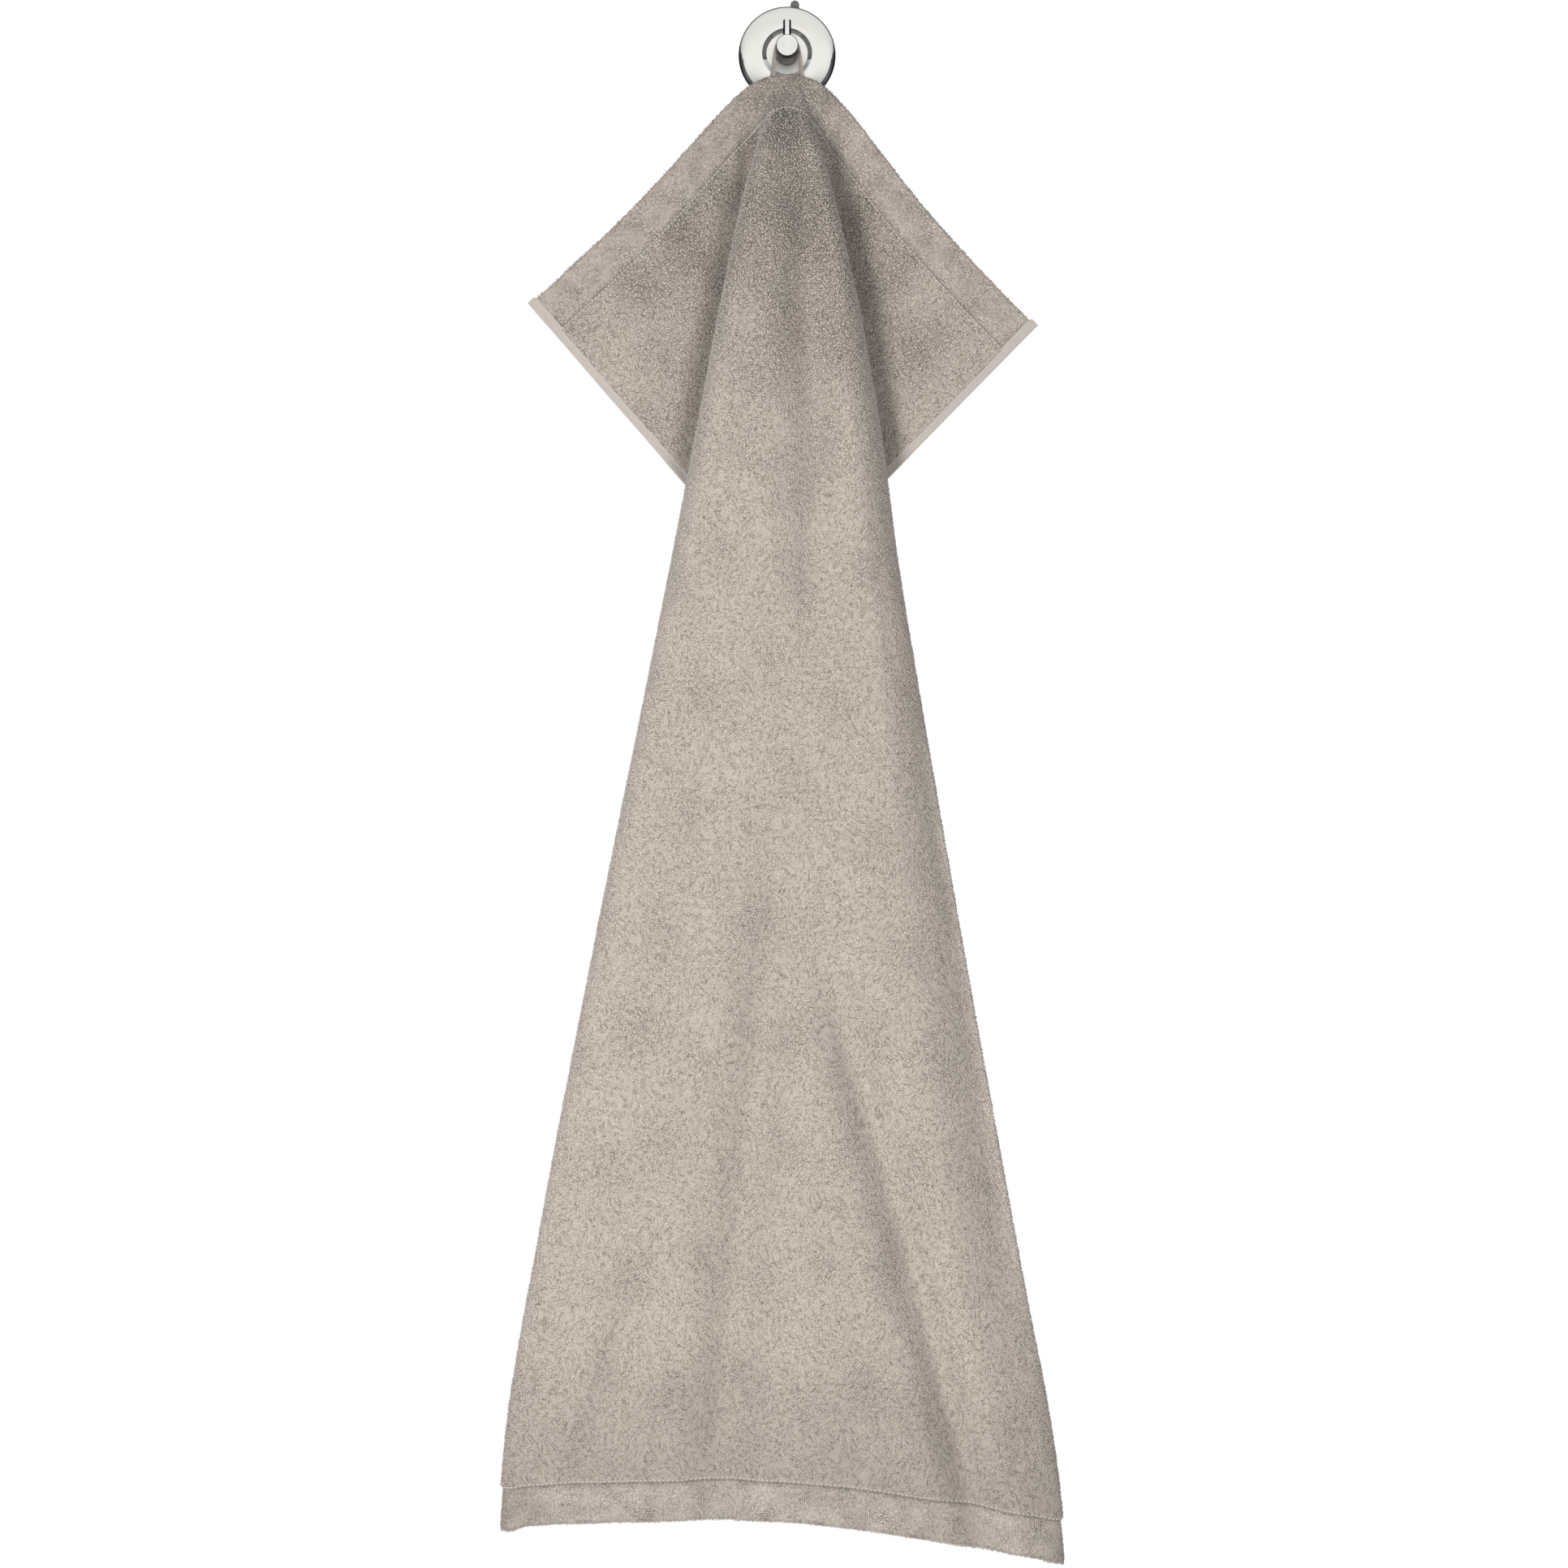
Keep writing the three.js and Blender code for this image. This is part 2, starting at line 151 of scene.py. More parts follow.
def soft_light(name, place, aim, size, power):
    light = bpy.data.objects.new(name, bpy.data.lights.new(name, "AREA"))
    light.data.shape = "DISK"
    light.data.size = size
    light.data.energy = power
    light.location = place
    bpy.context.view_layer.update()
    away = light.location - type(light.location)(aim)
    light.rotation_mode = "QUATERNION"
    light.rotation_quaternion = away.to_track_quat("Z", "Y")
    light.visible_camera = False
    light.visible_glossy = False
    bpy.context.scene.collection.objects.link(light)


towel_middle = (0, 0, view_height)
pale_floor()
white_room(diffuse_strength=0.55)
soft_light("left_softbox", (-1.2, -2.5, -0.85), towel_middle, 1.0, 55.5)
soft_light("right_softbox", (0.85, -2.7, -0.85), towel_middle, 1.1, 27)
bpy.context.scene.view_settings.view_transform = "Standard"


# The suction cup: soft grey rubber, moulded in one piece with the tab that lets the air back in.
# Its back is flat, the steel cover hides it, and only the tab's round end shows.
def turned_mesh(name, profile, segments):
    """A closed surface turned about the Y axis, from the radii and heights of its profile."""
    points = []
    faces = []
    rings = []
    for radius, height in profile:
        if radius == 0:
            rings.append([len(points)] * segments)
            points.append((0, -height * mm, 0))
            continue
        rings.append(list(range(len(points), len(points) + segments)))
        for step in range(segments):
            turn = 2 * math.pi * step / segments
            points.append((radius * mm * math.sin(turn), -height * mm, radius * mm * math.cos(turn)))
    for low, high in zip(rings, rings[1:]):
        for step in range(segments):
            after = (step + 1) % segments
            corners = [low[step], high[step], high[after], low[after]]
            faces.append(list(dict.fromkeys(corners)))
    mesh = bpy.data.meshes.new(name)
    mesh.from_pydata(points, [], faces)
    return mesh


def piece_of(name, mesh, *materials):
    """A piece of the object, on its one body."""
    piece = bpy.data.objects.new(name, mesh)
    bpy.context.scene.collection.objects.link(piece)
    for material in materials:
        mesh.materials.append(material)
    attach(piece, "root")
    return piece


def hard_piece(name, mesh, material, crease_degrees=40):
    """A piece that is smooth but for its real edges."""
    mesh.set_sharp_from_angle(angle=math.radians(crease_degrees))
    mesh.validate()
    return piece_of(name, mesh, material)


def arc(centre_radius, centre_height, round_radius, start, end, steps):
    """Points of a round edge in a turned profile, from one angle in degrees to another."""
    turns = [math.radians(start + (end - start) * step / steps) for step in range(steps + 1)]
    return [
        (centre_radius + round_radius * math.cos(t), centre_height + round_radius * math.sin(t))
        for t in turns
    ]


def noise(tree, place, scale, detail=2, roughness=0.5, distortion=0):
    """A cloudy pattern over places on a surface."""
    inputs = {"Vector": place, "Scale": scale, "Detail": detail}
    inputs.update({"Roughness": roughness, "Distortion": distortion})
    return added(tree, "TexNoise", inputs).outputs["Fac"]


def on_object(tree):
    return added(tree, "TexCoord").outputs["Object"]


def relief(tree, shader, height, strength, depth):
    """Fine relief on a surface, of a depth in mm."""
    inputs = {"Height": height, "Strength": strength, "Distance": depth * mm}
    join(tree, shader, {"Normal": added(tree, "Bump", inputs).outputs["Normal"]})


def grey_rubber():
    material, tree, shader = bare_material("grey_rubber")
    bloom = noise(tree, on_object(tree), 160, 6)
    tone = blend(tree, bloom, (0.085, 0.087, 0.09), (0.125, 0.127, 0.13))
    join(tree, shader, {"Base Color": tone, "Roughness": 0.62})
    relief(tree, shader, noise(tree, on_object(tree), 1500), 0.25, 0.1)
    return material


cup_radius = 30.5
cup_profile = [
    (0, 0),
    (cup_radius - 0.4, 0),
    *arc(cup_radius - 0.5, 0.5, 0.5, -80, 80, 6),
    (27, 2.2),
    (21, 4.9),
    (14.5, 7),
    *arc(13, 6.4, 1, 60, 90, 3),
    (0, 7.4),
]
cup_rubber = grey_rubber()
cup = hard_piece("suction_cup_disc", turned_mesh("suction_cup_disc", cup_profile, 120), cup_rubber)
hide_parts("suction_cup")


tab_across = 5.4
tab_half_width = 3
tab_root = 24
tab_top = 38.6
tab_thickness = 1.9
tab_round = 0.5


def tube_faces(rows, count):
    """Sides between rows of as many points, and a cap at both ends."""
    faces = []
    for low in range(0, (rows - 1) * count, count):
        for step in range(count):
            after = (step + 1) % count
            faces.append([low + step, low + after, low + count + after, low + count + step])
    faces.append(list(range(count))[::-1])
    faces.append(list(range((rows - 1) * count, rows * count)))
    return faces


def tab_mesh():
    """A flat tongue with a round end and softened edges."""
    centre = tab_top - tab_half_width
    end_steps = 24
    outline = [(-tab_half_width, tab_root)]
    for step in range(end_steps + 1):
        turn = math.pi - math.pi * step / end_steps
        outline.append((tab_half_width * math.cos(turn), centre + tab_half_width * math.sin(turn)))
    outline.append((tab_half_width, tab_root))
    edge = [(tab_round, 0), (0.3 * tab_round, 0.3 * tab_round), (0, tab_round)]
    layers = edge + [(inset, tab_thickness - height) for inset, height in reversed(edge)]
    points = []
    for inset, height in layers:
        scale = 1 - inset / tab_half_width
        for x, z in outline:
            level = centre + (z - centre) * scale if z > centre else z
            points.append(((tab_across + x * scale) * mm, -height * mm, level * mm))
    mesh = bpy.data.meshes.new("suction_cup_tab")
    mesh.from_pydata(points, [], tube_faces(len(layers), len(outline)))
    return mesh


tab = hard_piece("suction_cup_tab", tab_mesh(), cup_rubber, 50)


# The cover: stainless sheet pressed into a low dome with a rolled rim, and a ring that drops to
# the flat seat of the peg. It is brushed in circles on the lathe and snaps over the rubber cup.
def brushed_steel(name, colour, rough, stroke_scale, drawn_out=0.75, edge=1, metallic=1):
    """Stainless steel brushed in circles round the hook's axis."""
    material, tree, shader = bare_material(name)
    way = added(tree, "SeparateXYZ", {"Vector": on_object(tree)}).outputs
    flat = added(tree, "CombineXYZ", {"X": way["X"], "Y": way["Z"]}).outputs["Vector"]
    radius = added(tree, "VectorMath", {0: flat}, operation="LENGTH").outputs["Value"]
    turn = added(tree, "Math", {0: way["Z"], 1: way["X"]}, operation="ARCTAN2").outputs["Value"]
    stroke = {"X": radius, "Y": times(tree, turn, 0.0012), "Z": way["Y"]}
    stroke_place = added(tree, "CombineXYZ", stroke).outputs["Vector"]
    strokes = noise(tree, stroke_place, stroke_scale, detail=5, roughness=0.7)
    dark = tuple(c * 0.9 for c in colour)
    light = tuple(min(1, c * 1.05) for c in colour)
    round_axis = added(tree, "Tangent", direction_type="RADIAL", axis="Y").outputs["Tangent"]
    join(tree, shader, {
        "Base Color": blend(tree, strokes, dark, light),
        "Metallic": metallic,
        "Roughness": ranged(tree, strokes, rough - 0.05, rough + 0.07),
        "Specular Tint": (edge, edge, edge, 1),
        "Anisotropic": drawn_out,
        "Tangent": round_axis,
    })
    relief(tree, shader, strokes, 0.12, 0.02)
    return material


cover_radius = 33.8
rim_round = 2.7
rim_back = 0.7
sheet_steel = 1.1
crest_radius = 17.4
crest_height = 11.4
seat_radius = 14.4
seat_height = 9.2


def cover_profile():
    rim_centre = cover_radius - rim_round
    points = [(rim_centre - sheet_steel, rim_back)]
    points += arc(rim_centre, rim_back + rim_round, rim_round, -90, 60, 14)
    start_radius, start_height = points[-1]
    dome_steps = 26
    for step in range(1, dome_steps + 1):
        t = step / dome_steps
        rise = math.sin(t * math.pi / 2) ** 0.9
        points.append((
            start_radius + (crest_radius - start_radius) * t,
            start_height + (crest_height - start_height) * rise,
        ))
    points += arc(crest_radius, crest_height - 0.5, 0.5, 88, 140, 5)
    points += arc(seat_radius - 0.2, seat_height + 0.5, 0.5, -52, -90, 4)
    points += [
        (0, seat_height),
        (0, seat_height - sheet_steel),
        (seat_radius - sheet_steel, seat_height - sheet_steel),
        (crest_radius - 0.6, crest_height - sheet_steel - 0.4),
        (24, 9.2 - sheet_steel),
        (rim_centre - sheet_steel, rim_back + rim_round),
        (rim_centre - sheet_steel, rim_back),
    ]
    return points


def finish_faces(piece, material, wanted):
    """Gives another finish to the faces that a rule picks by radius, height and level, in mm."""
    slot = len(piece.data.materials)
    piece.data.materials.append(material)
    for face in piece.data.polygons:
        x, y, z = face.center
        if wanted(math.hypot(x, z) / mm, -y / mm, z / mm):
            face.material_index = slot


def rolled_rim(radius, height, level):
    return radius > cover_radius - 1.4


def shaded_rim(radius, height, level):
    """The lower part of the rim, in a band that widens downwards, which gets painted shade."""
    widest = 3
    share = min(1, max(0, (10 - level) / 14))
    return radius > cover_radius - widest * share and level < 10


def ring_drop(radius, height, level):
    return seat_radius < radius < crest_radius - 0.1 and height > seat_height


def ring_sides(radius, height, level):
    return ring_drop(radius, height, level) and level < 12.5


def ring_below(radius, height, level):
    return ring_drop(radius, height, level) and level < -4.2


cover_steel = brushed_steel("brushed_cover", (0.91, 0.9, 0.855), 0.3, 2600)
edge_steel = brushed_steel("polished_edges", (0.62, 0.61, 0.585), 0.15, 3000, drawn_out=0)
# Painted shade: a near-black copy of the steel for the lower part of the rim
rim_painted_shade = brushed_steel("rim_edges_painted_shade", (0.15, 0.152, 0.158), 0.2, 3000, drawn_out=0)
# Painted shade: a darker copy of the steel, with a weaker edge tint, for the top of the ring's drop
ring_painted_shade = brushed_steel("ring_painted_shade", (0.5, 0.5, 0.49), 0.15, 3000, drawn_out=0, edge=0.6)
# Painted shade: a still darker copy for the sides of the ring's drop
ring_sides_painted_shade = brushed_steel("ring_sides_painted_shade", (0.27, 0.27, 0.265), 0.15, 3000, drawn_out=0, edge=0.6)
# Painted reflection: a pale, rougher, barely metal copy for the drop's lower part, which mirrors the
# bright room
ring_below_painted_reflection = brushed_steel("ring_below_painted_reflection", (0.9, 0.885, 0.86), 0.6, 2600, metallic=0.25)
cover_turned = turned_mesh("steel_cover", cover_profile(), 200)
cover = hard_piece("steel_cover", cover_turned, cover_steel, 32)
finish_faces(cover, edge_steel, rolled_rim)
# Painted shade on the top and sides of the ring's drop, and a painted reflection below it
finish_faces(cover, ring_painted_shade, ring_drop)
finish_faces(cover, ring_sides_painted_shade, ring_sides)
# Painted shade on the rim's lower part
finish_faces(cover, rim_painted_shade, shaded_rim)
finish_faces(cover, ring_below_painted_reflection, ring_below)
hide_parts("cover")


# The peg: a solid steel bar with a faced and chamfered end, brushed round, standing on the seat.
# A stud through the seat holds it, so only a thin shadow line shows where they meet.
peg_radius = 7.7
peg_tip = 37
peg_foot = seat_height + 0.3
peg_chamfer = 0.8


def peg_profile():
    side_end = peg_tip - peg_chamfer
    points = [(0, peg_foot), (peg_radius - 0.3, peg_foot)]
    points += arc(peg_radius - 0.3, peg_foot + 0.3, 0.3, -80, 0, 4)
    points += [(peg_radius, peg_foot + 8), (peg_radius, peg_foot + 17), (peg_radius, side_end)]
    points += [(peg_radius - 0.06, side_end + 0.12)]
    points += [(peg_radius - peg_chamfer * 0.65, peg_tip - 0.08)]
    points += [(peg_radius - peg_chamfer * 0.8, peg_tip)]
    points += [(radius, peg_tip) for radius in (5.5, 3.5, 1.5, 0)]
    return points


def peg_side(radius, height, level):
    return radius > peg_radius - 0.3


def peg_underside(radius, height, level):
    return peg_side(radius, height, level) and level < -2


peg_steel = brushed_steel("brushed_peg", (0.83, 0.825, 0.81), 0.26, 3200)
side_steel = brushed_steel("turned_peg_side", (0.75, 0.74, 0.72), 0.28, 3200, drawn_out=0.4)
# Painted shade: a near-black copy of the peg's steel, with a weaker edge tint, for the underside of
# its side
peg_painted_shade_steel = brushed_steel("peg_painted_shade", (0.17, 0.166, 0.16), 0.3, 3200, drawn_out=0.4, edge=0.5)
peg = hard_piece("steel_peg", turned_mesh("steel_peg", peg_profile(), 128), peg_steel, 30)
finish_faces(peg, side_steel, peg_side)
# Painted shade under the peg
finish_faces(peg, peg_painted_shade_steel, peg_underside)
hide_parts("peg")


# The pin: a short polished dowel pressed upright into the peg, just behind its tip.
# It keeps the loop from sliding off the end.
pin_radius = 2.75
pin_depth = 30.6
pin_top = 18.6
pin_sunk = 0.55
pin_edge = 0.4


def polished_steel():
    material, tree, shader = bare_material("polished_pin")
    smears = noise(tree, on_object(tree), 420, 4)
    join(tree, shader, {
        "Base Color": blend(tree, smears, (0.84, 0.835, 0.82), (0.9, 0.895, 0.88)),
        "Metallic": 1,
        "Roughness": ranged(tree, smears, 0.07, 0.15),
    })
    return material


def pin_mesh():
    foot = peg_radius - pin_sunk
    profile = [
        (0, foot),
        (pin_radius, foot),
        (pin_radius, pin_top - pin_edge),
        (pin_radius - 0.3 * pin_edge, pin_top - 0.3 * pin_edge),
        (pin_radius - pin_edge, pin_top),
        (0, pin_top),
    ]
    mesh = turned_mesh("polished_pin", profile, 72)
    for vertex in mesh.vertices:
        x, y, z = vertex.co
        vertex.co = (x, -pin_depth * mm - z, -y)
    mesh.flip_normals()
    return mesh


def pin_flank(radius, height, level):
    """The faces of the pin, by their distance across from its middle."""
    across = math.sqrt(max(0, radius**2 - level**2))
    return across > 0.47 * pin_radius


# Painted reflection: a near-black copy of the steel, with a weak edge tint, for the pin's flanks,
# which mirror the dark room
pin_painted_dark_reflection = brushed_steel("pin_flanks_painted_dark_reflection", (0.07, 0.07, 0.072), 0.25, 3000, drawn_out=0, edge=0.1)
pin = hard_piece("polished_pin", pin_mesh(), polished_steel())
# Painted dark reflection on the pin's flanks
finish_faces(pin, pin_painted_dark_reflection, pin_flank)
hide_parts("pin")


# The hanging loop: ribbed cotton tape that goes up beside the peg, over it and down again.
# It lies flat on the peg and turns a little on its way down to the hem, where it is sewn in.
tape_width = 6
tape_thickness = 1.3
tape_rib = 0.07
tape_clear = 0.12
tape_in_hem = 6
tape_peg_depth = 17.5
tape_end_across = 10.4
tape_end_twist = math.radians(42)
hang_height = -17
hang_depth = 18.7


def cotton(name):
    """Cotton cloth or yarn: dull, with a soft sheen, and still without its colour."""
    material, tree, shader = bare_material(name)
    join(tree, shader, {
        "Roughness": 0.92,
        "Sheen Weight": 0.25,
        "Sheen Roughness": 0.6,
        "Specular IOR Level": 0.2,
    })
    return material, tree, shader


def napped_cotton(name, light, dark, nap_scale):
    """Cotton whose nap makes two close tones."""
    material, tree, shader = cotton(name)
    nap = noise(tree, on_object(tree), nap_scale, 5)
    join(tree, shader, {"Base Color": blend(tree, nap, dark, light)})
    return material, tree, shader


def on_cloth(tree, stretch=(1, 1)):
    """Places on the flat cloth, in metres, drawn out for patterns that run along the threads."""
    place = added(tree, "UVMap", uv_map="cloth").outputs["UV"]
    drawn = added(tree, "Mapping", {"Vector": place, "Scale": stretch + (1,)})
    return drawn.outputs["Vector"]


def threads(tree, scale, distortion=0, way="X"):
    """Fine bands that run one way over the cloth."""
    inputs = {"Vector": on_cloth(tree), "Scale": scale, "Distortion": distortion}
    return added(tree, "TexWave", inputs, bands_direction=way).outputs["Fac"]


def tape_cotton():
    light, dark = (0.46, 0.4, 0.35), (0.3, 0.26, 0.23)
    material, tree, shader = napped_cotton("tape_cotton", light, dark, 900)
    weave = {0: threads(tree, 300, 0.6), 1: threads(tree, 420, way="Y")}
    both = added(tree, "Math", weave, operation="ADD").outputs["Value"]
    relief(tree, shader, both, 0.6, 0.3)
    return material


def tape_mesh():
    """The tape from its right end in the hem up over the peg to its left end."""
    bend = peg_radius + tape_clear + tape_thickness / 2
    end_x = tape_end_across
    end_z = hang_height - tape_in_hem
    reach = math.hypot(end_x, end_z)
    leave = math.atan2(end_z, end_x) + math.acos(bend / reach)
    touch_x = bend * math.cos(leave)
    touch_z = bend * math.sin(leave)
    right = []
    straight_steps = 22
    for step in range(straight_steps):
        down = 1 - step / straight_steps
        x = touch_x + (end_x - touch_x) * down
        z = touch_z + (end_z - touch_z) * down
        right.append((x, z, leave, down))
    over = []
    round_steps = 56
    for step in range(round_steps + 1):
        turn = leave + (math.pi - 2 * leave) * step / round_steps
        over.append((bend * math.cos(turn), bend * math.sin(turn), turn, 0))
    left = [(-x, z, math.pi - turn, down) for x, z, turn, down in reversed(right)]
    across_steps = 14
    section = []
    for step in range(across_steps + 1):
        wide = step / across_steps - 0.5
        rib = tape_rib * math.cos(step * math.pi)
        section.append((wide, 0.5 - 0.3 * abs(2 * wide) ** 6 + rib))
    section += [(wide, -thick) for wide, thick in reversed(section)]
    points = []
    uvs = []
    travelled = 0
    previous = None
    for x, z, facing, down in right + over + left:
        depth = tape_peg_depth + (hang_depth - tape_peg_depth) * down
        middle = np.array([x, -depth, z])
        if previous is not None:
            travelled += float(np.linalg.norm(middle - previous))
        previous = middle
        outwards = np.array([math.cos(facing), 0, math.sin(facing)])
        along = np.array([-outwards[2], 0, outwards[0]])
        twist = tape_end_twist * down * math.copysign(1, x)
        outwards = outwards * math.cos(twist) + np.cross(along, outwards) * math.sin(twist)
        sideways = np.cross(along, outwards)
        for wide, thick in section:
            point = middle + sideways * wide * tape_width + outwards * thick * tape_thickness
            points.append(tuple(point * mm))
            uvs.append((wide * tape_width * mm, travelled * mm))
    faces = tube_faces(len(points) // len(section), len(section))
    turned_over = [face[:1] + face[:0:-1] for face in faces]
    mesh = bpy.data.meshes.new("loop_tape")
    mesh.from_pydata(points, [], turned_over)
    layer = mesh.uv_layers.new(name="cloth")
    for loop in mesh.loops:
        layer.data[loop.index].uv = uvs[loop.vertex_index]
    return mesh


loop_tape = hard_piece("loop_tape", tape_mesh(), tape_cotton(), 60)
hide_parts("hanging_loop")


# The towel: one length of cotton terry, 50 by 100 cm, with loops on both faces, a narrow flat
# selvedge down each side and a doubled hem at each end. The loop holds it by the middle of one
# end, so its sides fold back behind a front that widens downwards, and its top corners stand out.
towel_width = 500
towel_length = 1000
hem_width = 28
selvedge_width = 5.3
selvedge_at_hem = 7.4
hang_across = -3
shortened = {"front": 7, "front_within": 35, "wings": 8.8, "wings_within": 45}
edge_angle = {"left": 48.2, "right": 44.6, "rounded_top": 52, "rounded_curve": 1.25}
inner_clear = 4.5
wings_end = (380, 640)

# One row for each ring round the hang point: the front's half widths, the round of the side
# folds, how far the cloth turns in them, and the depths of the front and of the wings
ring_columns = ("ring", "left", "right", "round", "turn", "front", "wings")
ring_rows = (
    (0, 4, 4, 6, 2, 20, 20),
    (12, 10, 10, 7, 8, 21.6, 20.2),
    (28, 15.5, 16.5, 9, 30, 27, 20.4),
    (42, 18.6, 20, 9.5, 62, 38, 17),
    (60, 22.5, 24, 9.5, 108, 48, 13.5),
    (110, 33.5, 35.5, 11, 154, 59, 10.5),
    (180, 47.5, 51, 12, 180, 63.5, 9.5),
    (270, 64.5, 66.5, 12, 180, 64, 9),
    (350, 79.7, 77, 12, 180, 62.5, 9),
    (450, 99.3, 93.6, 12, 180, 60, 12),
    (620, 133.5, 123.9, 12, 180, 56, 15),
    (820, 171.6, 161.4, 11.5, 180, 52, 15),
    (960, 195.2, 188, 10.5, 180, 50, 15),
    (1040, 202, 196.5, 10, 180, 49, 15),
)
rings = {name: np.array([row[i] for row in ring_rows], float) for i, name in enumerate(ring_columns)}

# Soft troughs of the front, each from one place on the cloth to another: across and down where
# it starts, across and down where it ends, its depth and its spread. A negative depth is a ridge
creases = (
    (9, 34, 18, 360, 9, 15),
    (-14, 60, -26, 380, -3, 14),
    (-6, 540, -52, 990, 13, 21),
    (18, 590, 132, 990, 14.5, 17),
    (98, 430, 152, 830, 6, 22),
    (8, 760, 20, 1010, -5, 34),
    (-88, 800, -158, 990, 4.5, 12),
    (-228, 950, -206, 988, 2.6, 9),
)
low_corner = {"left": (6, 3), "right": (32, 1.3)}
hem_drop = 1.2
arch_drop = 5.5
hem_step = 1.7
corner_drop = {"left": 3, "right": 1.5}

# How the cloth eases. The front bellies a little and turns away towards its sides: how deep, and
# from which to which share of its half width. Each wing comes forward beside the pleat, which
# leaves a hollow there. The right fold is rounder than the left near the top, and the cloth that
# returns behind the front is drawn up low down
belly = 5
turned_side = {"left": (3, 0.8, 1.05), "right": (16, 0.68, 1.15)}
wing_rise = {"left": 9, "right": 7}
soft_fold = {"left": 0, "right": 0.45}
return_lift = {"most": 0.55, "from": 450, "to": 900}


def smooth(value, low, high):
    t = np.clip((value - low) / (high - low), 0, 1)
    return t * t * (3 - 2 * t)


def mixed(low, high, share):
    return low + (high - low) * share


def ring_value(column, ring):
    """A column of the ring table at any ring, by a curve that doesn't overshoot its rows."""
    at, values = rings["ring"], rings[column]
    spans = np.diff(at)
    slopes = np.diff(values) / spans
    tangents = np.empty_like(values)
    tangents[0], tangents[-1] = slopes[0], slopes[-1]
    before, after = slopes[:-1], slopes[1:]
    level = before * after <= 0
    total = np.where(level, 1, before + after)
    tangents[1:-1] = np.where(level, 0, 2 * before * after / total)
    ring = np.clip(ring, at[0], at[-1])
    i = np.clip(np.searchsorted(at, ring) - 1, 0, len(spans) - 1)
    t = (ring - at[i]) / spans[i]
    bend = t * (1 - t) * spans[i]
    return mixed(values[i], values[i + 1], (3 - 2 * t) * t * t) + bend * (
        (1 - t) * tangents[i] - t * tangents[i + 1]
    )


def crease_depth(across, down):
    depth = np.zeros_like(across)
    for from_across, from_down, to_across, to_down, most, spread in creases:
        t = (down - from_down) / (to_down - from_down)
        ends = smooth(t, -0.12, 0.3) * (1 - smooth(t, 0.8, 1.25))
        depth += most * ends * np.exp(-(((across - mixed(from_across, to_across, t)) / spread) ** 2))
    return depth


# Unevenness of the cloth, as sums of waves that run every way over it
def ripple(across, down, size, seed, waves=14):
    draw = np.random.default_rng(seed)
    total = np.zeros(np.broadcast(across, down).shape)
    for _ in range(waves):
        way = draw.uniform(0, math.pi)
        pitch = size * draw.uniform(0.6, 1.7)
        phase = draw.uniform(0, 2 * math.pi)
        total += np.sin((across * math.cos(way) + down * math.sin(way)) * 2 * math.pi / pitch + phase)
    return total / math.sqrt(waves)


def uneven(across, down):
    """Slack places and faint dents that a soft, thick cloth keeps after it has been folded."""
    return 0.75 * ripple(across, down, 85, 3, 8) + 0.22 * ripple(across, down, 26, 4)


